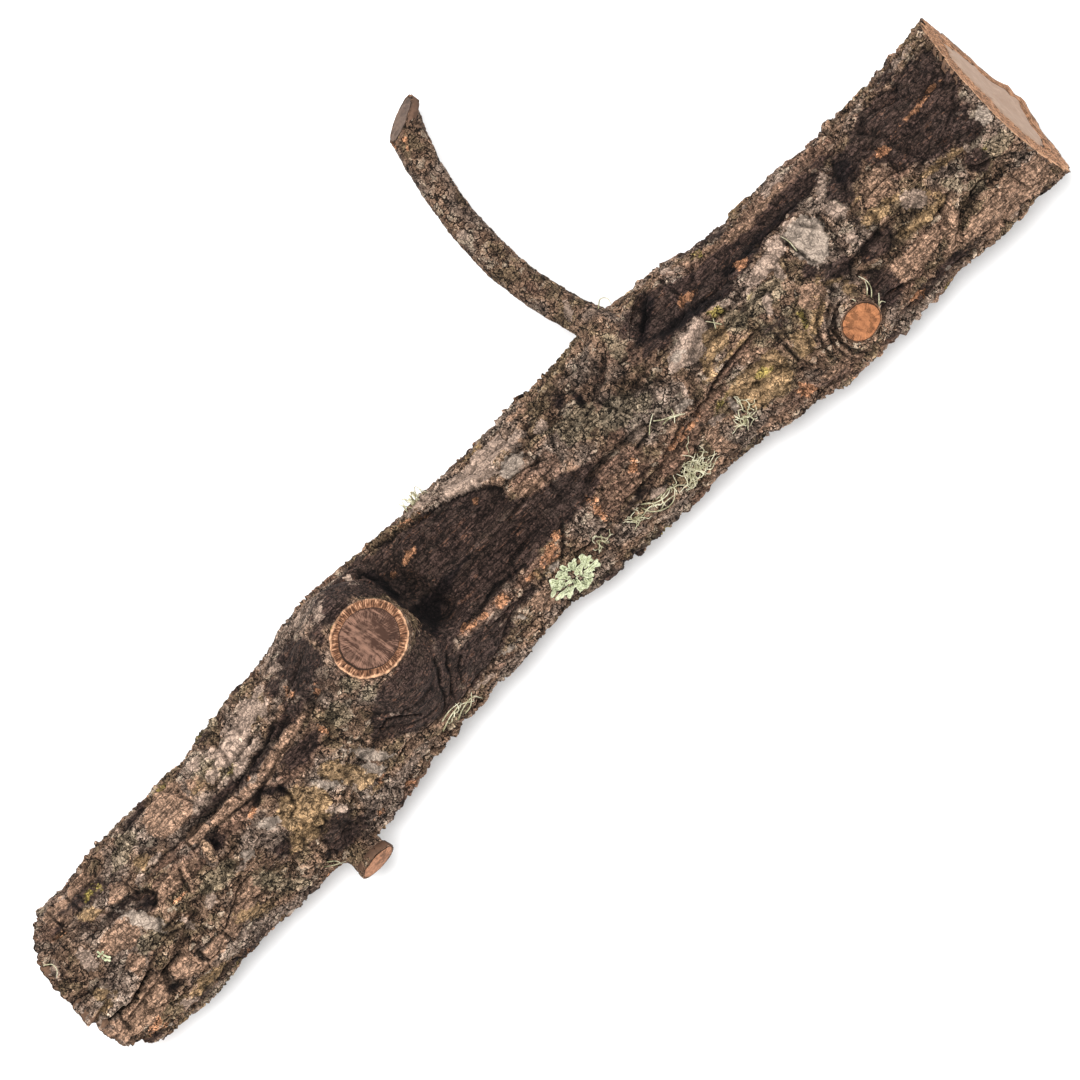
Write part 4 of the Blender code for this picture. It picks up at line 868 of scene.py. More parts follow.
def patch_fields(points, up):
    """For each finish, how far inside its nearest patch each point is: over 0 inside and below 0 outside.

    The listed patches and outlines lie where the eye sees them, on what faces up. Elsewhere smooth noise
    makes more. The tone is the share of light kept in the broad areas.
    """
    flat = seen_from(points)
    facing = np.clip((up - 0.12) / 0.25, 0, 1)
    fields = {}
    for number, (finish, (size, rarity)) in enumerate(WILD.items()):
        found = [inside_ellipse(flat, *patch) for patch in PATCHES.get(finish, [])]
        softness = SOFTNESS.get(finish, USUAL_SOFTNESS)
        found += [inside_outline(flat, corners) / softness for corners in OUTLINES.get(finish, [])]
        field = np.clip(np.max(found, axis=0), FAR_OUTSIDE, DEEP_INSIDE)
        wild = noise(points, size, 50 + number) * 2.2 - rarity
        fields[finish] = np.maximum(field * facing + FAR_OUTSIDE * (1 - facing),
                                    wild - WILD_HELD_BACK * facing)
    fields["tone"] = np.ones(flat.shape[:-1])
    for share, corners in TONES:
        inside = np.clip(inside_outline(flat, corners) / 5 + 0.4, 0, 1)
        fields["tone"] *= 1 + (share - 1) * inside * facing
    return fields


# For each finish: the size of its scattered patches and how rare they are.
WILD = {
    "tan": ((7, 4, 4), 1.6), "white": ((9, 7, 7), 1.5), "pale": ((12, 9, 9), 1.2),
    "pink": ((24, 12, 12), 0.9), "ochre": ((22, 14, 14), 1.1), "sage": ((20, 13, 13), 1.1),
    "moss": ((9, 7, 7), 1.5),
    "orange": ((8, 5, 5), 1.5), "brown": ((34, 12, 12), 0.7), "dark": ((40, 15, 15), 0.8),
    "black": ((12, 6, 6), 1.4),
}
WILD_HELD_BACK = 0.9
# How far in from its outline a finish is whole, in millimetres, where that isn't the usual.
SOFTNESS = {"dark": 3.0, "black": 2.4, "brown": 2.5, "pink": 2.0}
USUAL_SOFTNESS = 1.5
# A patch's field, held between these: from well outside its outline to well inside.
FAR_OUTSIDE = -1.5
DEEP_INSIDE = 1.2


def shell(rings, attributes):
    """A closed skin round rings of points in millimetres, with a fan to the middle at each end.

    Gives its points in metres, its faces' corners in a row, each face's number of corners, and the numbers
    kept for each point. The faces are turned outwards by the sign of the volume.
    """
    rings = np.asarray(rings) - (0, REST_Y, 0)
    count, sides = rings.shape[:2]
    ends = np.stack([rings[0].mean(axis=0), rings[-1].mean(axis=0)])
    points = np.concatenate([rings.reshape(-1, 3), ends]) * MM
    index = np.arange(count * sides).reshape(count, sides)
    near, far = index[:-1], index[1:]
    quads = np.stack([near, np.roll(near, -1, 1), np.roll(far, -1, 1), far], axis=-1).reshape(-1, 4)
    first = np.stack([np.full(sides, count * sides), np.roll(index[0], -1), index[0]], axis=-1)
    last = np.stack([np.full(sides, count * sides + 1), index[-1], np.roll(index[-1], -1)], axis=-1)
    triangles = np.concatenate([quads[:, [0, 1, 2]], quads[:, [0, 2, 3]], first, last])
    if np.linalg.det(points[triangles] - points.mean(axis=0)).sum() < 0:
        quads, first, last = quads[:, ::-1], first[:, ::-1], last[:, ::-1]
    corners = np.concatenate([quads.ravel(), first.ravel(), last.ravel()])
    sizes = np.repeat([4, 3], [len(quads), 2 * sides])
    kept = {key: np.concatenate([values.ravel(), [values[0].mean(), values[-1].mean()]])
            for key, values in attributes.items()}
    return points, corners, sizes, kept


def smooth_mesh(name, shells):
    """One smooth mesh of closed skins that all keep the same numbers."""
    points, corners, sizes, kept = zip(*shells)
    offsets = np.cumsum([0, *map(len, points[:-1])])
    points, sizes = np.concatenate(points), np.concatenate(sizes)
    corners = np.concatenate([own + offset for own, offset in zip(corners, offsets)])
    mesh = bpy.data.meshes.new(name)
    mesh.vertices.add(len(points))
    mesh.vertices.foreach_set("co", points.astype(np.float32).ravel())
    mesh.loops.add(len(corners))
    mesh.loops.foreach_set("vertex_index", corners.astype(np.int32))
    mesh.polygons.add(len(sizes))
    mesh.polygons.foreach_set("loop_start", (np.cumsum(sizes) - sizes).astype(np.int32))
    mesh.update(calc_edges=True)
    mesh.validate()
    mesh.shade_smooth()
    for key in kept[0]:
        made = mesh.attributes.new(key, "FLOAT", "POINT")
        made.data.foreach_set("value", np.concatenate([own[key] for own in kept]).astype(np.float32))
    return mesh
# How much each smooth finish flattens the fine relief.
FLATTENED = {"white": 0.75, "pale": 0.6, "pink": 0.45, "ochre": 0.35, "dark": 0.4, "brown": 0.3}


def place(name, shells, finish, slot, *nodes):
    """Puts closed skins in the scene as one piece, riding on the branch and standing for these nodes."""
    mesh = smooth_mesh(name, shells)
    mesh.materials.append(finish)
    obj = bpy.data.objects.new(name, mesh)
    bpy.context.scene.collection.objects.link(obj)
    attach(obj, "root")
    if nodes:
        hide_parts(*nodes)


def normals_up(rings):
    """Upward share of the surface's direction at each point of a closed round of rings."""
    along = np.gradient(rings, axis=0)
    round_ = np.roll(rings, -1, 1) - np.roll(rings, 1, 1)
    normal = np.cross(along, round_)
    normal /= np.maximum(np.linalg.norm(normal, axis=-1, keepdims=True), 1e-9)
    outward = rings - rings.mean(axis=1, keepdims=True)
    sign = np.sign((normal * outward).sum(-1))
    return normal[..., 2] * sign


def bark_attributes(patches, height, plate, crack=0.0):
    """The patch fields, how far each point stands out or lies hollow, its plate's number and its cracks."""
    broad = blurred(height, 10)
    return {**patches, "standing": height - broad, "hollow": broad - blurred(broad, 110), "plate": plate,
            "crack": crack + 0 * height}


def trunk_places(settings):
    """Places along the trunk and angles round it: the first half of the rings reach to the seam."""
    half = settings.rings // 2
    left = np.linspace(LEFT_END, SEAM, half + 1)[:-1]
    x = np.concatenate([left, np.linspace(SEAM, RIGHT_END, settings.rings - half)])[:, None]
    angle = turns(settings.sides)[None, :]
    return x + 0 * angle, angle + 0 * x


def held_under(rings, middle, lean, cover):
    """The rings, pressed down along a stub's axis where they would cover its sawn disc."""
    outward = np.array([0, math.sin(lean), math.cos(lean)])
    off = rings - middle
    over = off @ outward
    across = np.linalg.norm(off - over[..., None] * outward, axis=-1)
    excess = np.clip(over - np.interp(across, *cover), 0, None) * (over < COVER_REACH)
    return rings - excess[..., None] * outward * (across < cover[0][-1])[..., None]


def torn_rim(x, y, below):
    """How far the bark stands out past the sawn end, in millimetres: a ragged tongue low on the far side."""
    near_end = np.clip(1 - (RIGHT_END - x) / 9, 0, 1) * np.clip(below / 12, 0, 1)
    return near_end * bell(y + 8, 9, 4)


def build_trunk(settings):
    """The trunk's skin: ellipses along the branch, pushed out by the bark's relief.

    Smooth crusts and plates take less of the fine relief.
    """
    x, angle = trunk_places(settings)
    relief, collar, under, points = coarse_bark(x, angle)
    crease_shade = np.zeros(x.shape)
    arcs = [arc_path(*arc) for arc in ARCS]
    for path in (*CRACKS, *LINES, *arcs, *FLAKES):
        height = stroke(x, angle, path)
        relief += height
        crease_shade = np.maximum(crease_shade, np.clip(-height, 0, 1))
    for path, rise, fall in LEDGES:
        height, gutter = ledge(x, angle, path, rise, fall)
        relief += height
        crease_shade = np.maximum(crease_shade, gutter)
    middle, half, rise, axis, _ = trunk_section(x)
    outward = np.stack([0 * x, np.sin(angle), np.cos(angle)], axis=-1)
    skin = points + outward * relief[..., None]
    skin[..., 0] += end_lean(x, skin[..., 2] - axis) * (skin[..., 2] - axis)
    patches = patch_fields(skin, np.cos(angle))
    flat = np.max([patches[key] * share for key, share in FLATTENED.items()], axis=0)
    fine, plate, crack = fine_bark(points, collar)
    fine *= (1 - np.clip(flat, 0, 0.75)) * (1 + 0.3 * np.abs(np.sin(angle)) ** 8)
    relief = (relief + fine * settings.roughness) * (1 - under)
    y = middle + (half + relief) * np.sin(angle)
    z = np.maximum(axis + (rise + relief) * np.cos(angle), 0)
    torn = torn_rim(x, y, axis - z) * (2.4 + 1.2 * noise(points, (5, 4, 4), 71))
    rings = np.stack([x + end_lean(x, z - axis) * (z - axis) + torn, y, z], axis=-1)
    rings = held_under(rings, seen(*KNOT_PLACE), KNOT_LEAN, KNOT_COVER)
    rings = held_under(rings, seen(*SMALL_STUB_PLACE), SMALL_STUB_LEAN, SMALL_STUB_COVER)
    # The crack field darkens the bark's colour: painted shade in cracks, plate gaps and the gutters under
    # ledges.
    crack = np.maximum(crack * (1 - np.clip(flat, 0, 0.6)), crease_shade)
    return rings, bark_attributes(patches, relief, plate, crack)


def trunk_half(rings, fields, first, last):
    """The rings of one piece of the trunk, with a cap inside each end and a lip under the next piece."""
    before = [shrunk(rings[first], 0.9, (1.5, 0, 0))]
    after = [shrunk(rings[last], 0.9, (-1.5, 0, 0))]
    if first > 0:
        before = [shrunk(rings[first - 1], share) for share in (0.9, 0.997)]
    if last < len(rings) - 1:
        after = [shrunk(rings[last + 1], share) for share in (0.997, 0.9)]
    whole = np.concatenate([before, rings[first:last + 1], after])
    kept = {key: np.pad(value[first:last + 1], ((len(before), len(after)), (0, 0)), mode="edge")
            for key, value in fields.items()}
    return shell(whole, kept)


def shrunk(ring, share, step=(0, 0, 0)):
    """The ring drawn in towards its middle and moved by a step."""
    middle = ring.mean(axis=0)
    return middle + (ring - middle) * share + step


def limb_bark(rings, broad, plates, littles):
    """Height of a limb's bark: broad bumps, plates that tilt and sink at their edges, and little scales.

    Each layer is given by its height, its tilt where it has one, its size and its seed.
    """
    height = broad[0] * noise(rings, *broad[1:])
    gap, plate, tilt = scales(rings, *plates[2:])
    _, little, little_tilt = scales(rings, *littles[2:])
    height += plates[0] * (plate - 0.5 + plates[1] * tilt - bell(gap, 0.12))
    return height + littles[0] * (little - 0.5) + littles[1] * little_tilt, plate


def tube(path, radii, sides, count, up=(0, 0, 1), end_normal=None, bumps=0.35, depth=0.28):
    """Rings round a smooth path, roughened by broad bumps and small scales.

    Each ring faces along the path. Where the end is sawn, the last ring is turned onto the cut's plane and
    the ones before it are held under that plane.
    """
    path = np.asarray(path, float)
    length = np.concatenate([[0], np.cumsum(np.linalg.norm(np.diff(path, axis=0), axis=1))])
    where = np.linspace(0, length[-1], count)
    path = along_curve(where, length, path)
    radii = along_curve(where, length, radii)
    heading, spread = round_path(path, up, sides)
    rings = path[:, None] + spread * radii[:, None, None]
    height, plate = limb_bark(rings, (bumps, (9, 9, 9), 31), (depth, 0.5, (3.2, 2.6, 2.6), 41),
                              (0.14, 0.1, (1.7, 1.5, 1.5), 42))
    rings += spread * height[..., None]
    if end_normal is not None:
        normal = np.asarray(end_normal, float)
        for row in range(1, 14):
            over = (rings[-row] - path[-1]) @ normal / (heading[-1] @ normal)
            if row > 1:
                over = np.maximum(over, -0.02 * row) * (over > -0.02 * row)
            rings[-row] -= over[:, None] * heading[-1]
    return rings, height, plate


def round_path(path, up, sides):
    """The heading at each point of a path, and the unit ways to the sides of a ring across it."""
    heading = np.gradient(path, axis=0)
    heading /= np.linalg.norm(heading, axis=1, keepdims=True)
    side = np.cross(heading, up)
    side /= np.linalg.norm(side, axis=1, keepdims=True)
    top = np.cross(side, heading)
    turn = np.linspace(0, 2 * math.pi, sides, endpoint=False)[None, :, None]
    return heading, side[:, None] * np.cos(turn) + top[:, None] * np.sin(turn)


def stub_rings(middle, radii, lean, depth, sides, count):
    """The bark round a stub, from deep in the trunk up to its sawn face, where it is a little narrower."""
    outward = np.array([0, math.sin(lean), math.cos(lean)])
    across = np.array([0, math.cos(lean), -math.sin(lean)])
    turn = np.linspace(0, 2 * math.pi, sides, endpoint=False)[None, :, None]
    t = np.linspace(0, 1, count)[:, None, None]
    spread = np.array([1, 0, 0]) * np.cos(turn) * radii[0] + across * np.sin(turn) * radii[1]
    rings = middle - outward * depth * (1 - t) + spread * (1 + 0.16 * (1 - t) ** 1.5)
    height, plate = limb_bark(rings, (0.4, (6, 6, 6), 45), (0.4, 0.4, (5, 4, 4), 43),
                              (0.2, 0.12, (2, 1.8, 1.8), 44))
    height *= 1 - 0.75 * t[..., 0] ** 6
    rings += spread / np.linalg.norm(spread, axis=-1, keepdims=True) * height[..., None]
    rings[-1] -= ((rings[-1] - middle) @ outward)[:, None] * outward
    return rings, height, plate


# Sawn faces: how thick the bark is, how uneven on top and along its inner edge, the width and depth of the
# crack inside it, how wavy and how domed the wood is, and round which bearing the crack gapes and how far.
FACE_SHAPES = {
    "right_end": dict(bark=13.0, uneven=(0.42, 0.5), gap=(2.8, 2.0), wave=0.12, opening=(0, 2.6)),
    "left_end": dict(bark=9.0, uneven=(0, 0.7), gap=(1.1, 1.2), wave=0.25),
    "knot": dict(bark=3.1, uneven=(0, 0.16), gap=(0.9, 1.0), wave=0.1, dome=0.2, opening=(185, 0.8)),
    "small_stub": dict(bark=0.5, uneven=(0, 0.15), gap=(0.3, 0.3), wave=0.16, dome=0.6),
    "side_stub": dict(bark=0.5, uneven=(0, 0.15), gap=(0.3, 0.2), wave=0.12, dome=0.3),
    "twig": dict(bark=0.7, uneven=(0, 0.2), gap=(0.4, 0.3), wave=0.15),
}


def sawn_face(rim, outward, inward, bark, uneven, gap, wave, dome=0.0, opening=(0, 9), rows=50):
    """A sawn face: rings from its rim to its middle, with a crack between bark and wood, and a back inside.

    The bark is thicker on top by its first unevenness, and its inner edge wanders by the second. The
    surface stands off the plane by broad waves and saw marks, and the crack gapes round one bearing. Each
    point keeps how far it is from the rim and past the bark, its share of the way to the middle, its place
    round the face and on it, and how open the crack is.
    """
    middle = rim.mean(axis=0)
    reach = np.linalg.norm(rim - middle, axis=1)
    t = np.linspace(0, 0.995, rows)[:, None]
    points = middle + (rim - middle)[None] * (1 - t)[..., None]
    inset = t * reach[None]
    ragged = uneven[1] * (noise(points, (6, 6, 6), 61) + 0.35 * noise(points, (2, 2, 2), 66))
    off = points - middle
    east = off[..., 0] - off[..., 2] * outward[0]
    north = off[..., 1]
    around = np.arctan2(north, east if abs(outward[0]) < 0.9 else off[..., 2])
    turned = np.angle(np.exp(1j * (around - math.radians(opening[0]))))
    opened = 0.15 + 0.85 * bell(turned, opening[1])
    opened *= np.clip(0.8 + 0.6 * noise(points, (9, 9, 9), 62), 0.2, 1.2)
    past = inset - bark * (1 + uneven[0] * np.cos(around)) - ragged
    stand = wave * (noise(points, (9, 1.6, 9), 63) + noise(points, (3, 3, 3), 64))
    stand -= gap[1] * opened * bell(past, gap[0] / 2)
    stand += np.clip(-past / 0.8, 0, 1) * wave * 2.2 * noise(points, (1.6, 1.6, 1.6), 67)
    stand -= 0.5 * np.exp(-inset / 0.5) * np.clip(0.6 + noise(points, (4, 4, 4), 65), 0, 1)
    stand += dome * (1 - (1 - t) ** 2)
    front = points + outward * (stand + 0.06)[..., None]
    back = shrunk(rim, 0.93, inward * 3)[None]
    size = reach.mean()
    fields = {"inset": inset, "past": past, "share": t + 0 * inset, "around": around,
              "open": opened * gap[0], "east": east / size, "north": north / size}
    fields = {key: np.concatenate([value[::-1], value[:1]]) for key, value in fields.items()}
    return shell(np.concatenate([front[::-1], back]), fields)


def trunk_frame(where):
    """Middle on the trunk's axis of a seen place, the ways along it and round it, and the way outward."""
    x, angle = on_trunk(*where)
    outward = np.array([0, math.sin(angle), math.cos(angle)])
    plane = np.array([(1, 0, 0), (0, math.cos(angle), -math.sin(angle))])
    middle, _, rise, axis, _ = trunk_section(x)
    above = rise * math.cos(angle)
    return np.array([x + end_lean(x, above) * above, middle, axis]), plane, outward


def way(bearing):
    """The unit step for each bearing: its shares along the trunk and round it."""
    return np.stack([np.cos(bearing), np.sin(bearing)], axis=-1)


def bark_height(tree, base, outward, points):
    """Height over the axis, along the outward direction, at which a ray from outside meets the bark."""
    heights = []
    for point in points:
        start = point + outward * (80 - (point - base) @ outward)
        hit, _, _, _ = tree.ray_cast(Vector(start), Vector(-outward), 80)
        heights.append((np.array(hit) - base) @ outward if hit is not None else 0.0)
    return np.array(heights)


def eased(heights):
    """Each height raised to its neighbours' and then averaged, so that what is laid on them stays clear."""
    padded = np.pad(heights, 1, mode="edge")
    high = np.max([padded[:-2], padded[1:-1], padded[2:]], axis=0)
    padded = np.pad(high, 1, mode="edge")
    return np.maximum((padded[:-2] + 2 * padded[1:-1] + padded[2:]) / 4, heights)


def leaf_lobe(tree, frame, start, bearing, length, width, lift, curl, draw):
    """A leaf-like lobe: thin flat sections along a path that runs outwards from its start.

    The half-width grows from a neck to a rounded, notched end, the edges curl up, and the sheet is a third
    of a millimetre thick.
    """
    base, plane, outward = frame
    t = np.linspace(0, 1, 11)
    across = np.linspace(-1, 1, 7)[None]
    rounded = np.sqrt(np.clip(1 - np.clip((t - 0.7) / 0.3, 0, 1) ** 2, 0.03, 1))
    half = width * rounded * (0.45 + 0.55 * t**1.2) * (1 + 0.14 * np.sin(t * 16 + draw.uniform(0, 6)))
    bend = bearing + draw.uniform(-0.35, 0.35) * t
    path = base + (start + way(bend) * (t * length)[:, None]) @ plane
    rise = eased(bark_height(tree, base, outward, path)) + SEAT_GAP + LOBE_HEIGHT + lift + curl * t**2
    ruffle = 0.3 * across**2 * (1 + np.sin(t * 9 + draw.uniform(0, 6)))[:, None]
    notch = 0.3 * t[:, None] ** 4 * bell(across, 0.25)
    upper = path[:, None] + (way(bend + math.pi / 2) @ plane)[:, None] * (across * half[:, None])[..., None]
    upper += outward * (rise[:, None] + ruffle)[..., None]
    upper -= (way(bend) @ plane)[:, None] * (notch * 1.8 * width)[..., None]
    lower = upper - outward * LOBE_THICKNESS * (1 - 0.6 * across[..., None] ** 2)
    edge = np.concatenate([across**2 + 0 * t[:, None], np.ones((11, 7))], axis=1)
    rings = np.concatenate([upper, lower[:, ::-1]], axis=1)
    return shell(rings, {"edge": np.maximum(edge, t[:, None] ** 4)})


def build_rosette(name, where, reach, lobes, tree):
    """A leafy lichen: a round of uneven lobes at its edge, with shorter ones strewn over its middle."""
    frame = trunk_frame(where)
    draw = np.random.default_rng(len(name))
    made = []
    for i in range(lobes):
        bearing = 2 * math.pi * i / lobes + draw.uniform(-0.15, 0.15)
        end = reach * draw.uniform(0.78, 1.04)
        start = reach * draw.uniform(0.35, 0.6)
        width = min(1.1 * math.pi * end / lobes, reach * 0.16) * draw.uniform(0.7, 1.1)
        curl = draw.uniform(0, 0.7)
        made.append(leaf_lobe(tree, frame, way(bearing) * start, bearing, end - start, width, 0, curl, draw))
    for _ in range(int(lobes * 1.7)):
        bearing = draw.uniform(0, 2 * math.pi)
        start = way(bearing) * reach * 0.62 * math.sqrt(draw.uniform(0, 1))
        bearing += draw.uniform(-0.9, 0.9)
        length = reach * draw.uniform(0.18, 0.34)
        width = reach * draw.uniform(0.06, 0.11)
        made.append(leaf_lobe(tree, frame, start, bearing, length, width, draw.uniform(0.1, 0.7), 0.3, draw))
    return made


def thin_tube(path, up, radius):
    """A five-sided tube along a path, thinner towards its end."""
    t = np.linspace(0, 1, len(path))[:, None]
    _, spread = round_path(path, up, 5)
    rings = path[:, None] + spread * (radius * (1 - 0.55 * t**2))[:, :, None]
    return shell(rings, {"along": np.repeat(t, 5, axis=1)})


def lying_thread(tree, path, radius, stand):
    """A thread on the bark along a curve through seen places: a ray from above finds the bark at each."""
    where = np.linspace(0, len(path) - 1, 6 * len(path))
    flat = along_curve(where, np.arange(len(path)), path)
    height = np.full(len(flat), 50.0)
    for _ in range(3):
        spots = np.stack([seen(x, y, z) for (x, y), z in zip(flat, height)])
        hits = [tree.ray_cast(Vector((x, y, 120)), Vector((0, 0, -1)), 120)[0] for x, y, _ in spots]
        height = np.array([50.0 if hit is None else hit[2] for hit in hits])
    hump = stand * np.sin(np.linspace(0, math.pi, len(flat)))
    height = eased(height) + SEAT_GAP + radius + hump
    return thin_tube(np.stack([seen(x, y, z) for (x, y), z in zip(flat, height)]), (0, 0, 1), radius)


def thread(tree, frame, start, bearing, length, bend, wave, radius, stand, draw):
    """A thin thread: its heading turns steadily and sways, and it rises in a hump off the bark below it."""
    base, plane, outward = frame
    t = np.linspace(0, 1, 13)
    step = way(bearing + bend * t + wave * np.sin(t * 7 + draw.uniform(0, 6))) * length / 12
    flat = start + np.cumsum(step, axis=0) - step[0]
    path = base + flat @ plane
    heights = eased(bark_height(tree, base, outward, path)) + SEAT_GAP + radius
    hump = np.sin(t * math.pi * draw.uniform(0.6, 1.2)) ** 2 + 0.25 * np.sin(t * 9 + draw.uniform(0, 6)) ** 2
    return thin_tube(path + (heights + stand * hump)[:, None] * outward, outward, radius), flat


def build_tuft(name, where, reach, threads, stand, tree, radius=0.19):
    """A beard lichen: threads that leave near one holdfast, each with a fork."""
    frame = trunk_frame(where)
    draw = np.random.default_rng(sum(map(ord, name)))
    spread = np.array(reach)
    made = []
    for i in range(threads):
        bearing = 2 * math.pi * i / threads + draw.uniform(-0.5, 0.5)
        start = draw.uniform(-0.42, 0.42, 2) * spread
        length = spread.mean() * draw.uniform(0.9, 2.0)
        bend = draw.uniform(-3.6, 3.6)
        whole, flat = thread(tree, frame, start, bearing, length, bend, 0.35, radius, stand, draw)
        fork = draw.integers(3, 9)
        off = bearing + bend * fork / 12 + draw.choice([-1, 1]) * draw.uniform(0.5, 1.1)
        branch, _ = thread(tree, frame, flat[fork], off, length * draw.uniform(0.3, 0.6),
                           draw.uniform(-2.5, 2.5), 0.3, radius * 0.75, stand * 0.8, draw)
        made += [whole, branch]
    return made


def add(tree, kind, inputs=None, **settings):
    """A node of this kind with these settings: each input takes a value or is joined to an output."""
    made = tree.nodes.new(kind)
    for key, value in settings.items():
        setattr(made, key, value)
    for key, value in (inputs or {}).items():
        if isinstance(value, bpy.types.NodeSocket):
            tree.links.new(value, made.inputs[key])
        else:
            made.inputs[key].default_value = value
    return made


def maths(tree, operation, *values, clamp=False):
    """The result of one step of arithmetic."""
    return add(tree, "ShaderNodeMath", dict(enumerate(values)), operation=operation,
               use_clamp=clamp).outputs[0]


def times(tree, first, second):
    """The product of two values."""
    return maths(tree, "MULTIPLY", first, second)


def mixed(tree, share, first, second, blend="MIX"):
    """Two colours mixed by a share."""
    made = add(tree, "ShaderNodeMix", {0: share, 6: first, 7: second}, data_type="RGBA", blend_type=blend)
    return made.outputs[2]


def remap(tree, value, low, high, to_low=0.0, to_high=1.0, ease=True):
    """A value carried from one range to another, held inside it and eased at both ends."""
    made = add(tree, "ShaderNodeMapRange", {0: value, 1: low, 2: high, 3: to_low, 4: to_high})
    made.interpolation_type = "SMOOTHSTEP" if ease else "LINEAR"
    return made.outputs[0]


def ramp(tree, value, stops):
    """A colour that runs through these stops of place and colour."""
    made = add(tree, "ShaderNodeValToRGB", {0: value})
    band = made.color_ramp
    while len(band.elements) < len(stops):
        band.elements.new(0.5)
    for element, (position, colour) in zip(band.elements, stops):
        element.position = position
        element.color = (*colour, 1)
    return made.outputs[0]


def group(name, inputs, outputs):
    """A new shader group with these sockets, with its input and output nodes."""
    tree = bpy.data.node_groups.new(name, "ShaderNodeTree")
    for label, kind, value in inputs:
        socket = tree.interface.new_socket(label, in_out="INPUT", socket_type=kind)
        if value is not None:
            socket.default_value = value
    for label, kind in outputs:
        tree.interface.new_socket(label, in_out="OUTPUT", socket_type=kind)
    return tree, tree.nodes.new("NodeGroupInput"), tree.nodes.new("NodeGroupOutput")


def filled_group(tree, name, inputs):
    """A placed shader group whose inputs take values or are joined to outputs."""
    return add(tree, "ShaderNodeGroup", inputs, node_tree=bpy.data.node_groups[name])


def off_middle(tree, value, scale, base):
    """base plus scale times how far a noise is from its middle."""
    return maths(tree, "MULTIPLY_ADD", maths(tree, "SUBTRACT", value, 0.5), scale, base)


def make_groups():
    """Grain: the fine marks of bark, from grit to broad tones. Ragged edge: a mask with a broken outline."""
    value, vector = "NodeSocketFloat", "NodeSocketVector"
    labels = ("Grit", "Crumbs", "Ticks", "Lines", "Blotches", "Flakes", "Cracks", "Tones", "Rims", "Lumps",
              "Bits", "Height")
    tree, inside, out = group("Grain", [("Vector", vector, None)], [(label, value) for label in labels])
    spot = inside.outputs["Vector"]

    def bits(scale, detail, stretch=(1, 1, 1), distortion=0.0, roughness=0.6):
        """Noise over the stretched place."""
        turned = add(tree, "ShaderNodeMapping", {"Vector": spot, "Scale": stretch}).outputs[0]
        return add(tree, "ShaderNodeTexNoise", {"Vector": turned, "Scale": scale, "Detail": detail,
                                                "Roughness": roughness, "Distortion": distortion}).outputs[0]

    shift = add(tree, "ShaderNodeTexNoise", {"Vector": spot, "Scale": 700.0, "Detail": 1.5}).outputs["Color"]
    bent = add(tree, "ShaderNodeVectorMath", {0: shift, 1: (0.0024,) * 3, 2: spot},
               operation="MULTIPLY_ADD").outputs[0]

    def cells(scale, stretch, feature, output):
        """One output of a pattern of cells over the bent and stretched place."""
        turned = add(tree, "ShaderNodeMapping", {"Vector": bent, "Scale": stretch}).outputs[0]
        return add(tree, "ShaderNodeTexVoronoi", {"Vector": turned, "Scale": scale},
                   feature=feature).outputs[output]

    grit = bits(1900.0, 1.0, roughness=0.75)
    crumbs = bits(620.0, 2.0)
    ticks = bits(1250.0, 1.5, (1.3, 0.3, 0.4), 0.6)
    lines = bits(1150.0, 1.5, (0.13, 1.2, 1.2), 0.3)
    blotches = bits(150.0, 3.0)
    tones = bits(48.0, 2.0)
    lumps = bits(230.0, 4.0)
    edge_bits = bits(380.0, 4.0, roughness=0.7)
    size = (430.0, (0.8, 1.0, 1.0))
    tint = add(tree, "ShaderNodeSeparateColor", {0: cells(*size, "F1", "Color")}).outputs
    flakes = maths(tree, "MULTIPLY_ADD", tint[0], 0.75, times(tree, crumbs, 0.25))
    worm = bits(620.0, 1.0, (0.55, 0.8, 0.8), 0.7)
    near = maths(tree, "ABSOLUTE", maths(tree, "SUBTRACT", worm, 0.5))
    curly = remap(tree, lumps, 0.4, 0.5)
    from_edge = cells(*size, "DISTANCE_TO_EDGE", "Distance")
    broken = remap(tree, edge_bits, 0.44, 0.52)
    squiggles = times(tree, remap(tree, near, 0.006, 0.034, 1.0, 0.0), curly)
    edges = times(tree, remap(tree, from_edge, 0.04, 0.1, 1.0, 0.0), broken)
    # Hairline cracks: sunk in the bump, and painted with shade in the bark's colour.
    cracks = maths(tree, "MAXIMUM", squiggles, edges)
    rims = maths(tree, "MAXIMUM", times(tree, remap(tree, near, 0.04, 0.1, 1.0, 0.0), curly),
                 times(tree, remap(tree, from_edge, 0.13, 0.3, 1.0, 0.0), broken))
    rims = maths(tree, "SUBTRACT", rims, cracks, clamp=True)
    height = maths(tree, "MULTIPLY_ADD", crumbs, 0.5, times(tree, ticks, 0.5))
    height = maths(tree, "MULTIPLY_ADD", grit, 0.35, height)
    height = maths(tree, "MULTIPLY_ADD", flakes, 0.25, height)
    height = maths(tree, "SUBTRACT", height, times(tree, cracks, 0.35))
    found = (grit, crumbs, ticks, lines, blotches, flakes, cracks, tones, rims, lumps, edge_bits, height)
    for label, output in zip(labels, found):
        tree.links.new(output, out.inputs[label])

    tree, inside, out = group("Ragged edge", [
        ("Noise", value, 0.5), ("Field", value, 0.0), ("Reach", value, 1.5), ("Softness", value, 0.22),
    ], [("Mask", value)])
    shifted = maths(tree, "MULTIPLY_ADD", maths(tree, "SUBTRACT", inside.outputs["Noise"], 0.5),
                    inside.outputs["Reach"], inside.outputs["Field"])
    share = maths(tree, "DIVIDE", shifted, inside.outputs["Softness"])
    tree.links.new(remap(tree, share, -1.0, 1.0), out.inputs["Mask"])


def new_material(name, roughness):
    """A material with a Principled shader, its tree and that shader."""
    made = bpy.data.materials.new(name)
    made.use_nodes = True
    shader = made.node_tree.nodes["Principled BSDF"]
    shader.inputs["Roughness"].default_value = roughness
    shader.inputs["Specular IOR Level"].default_value = 0.15
    return made, made.node_tree, shader


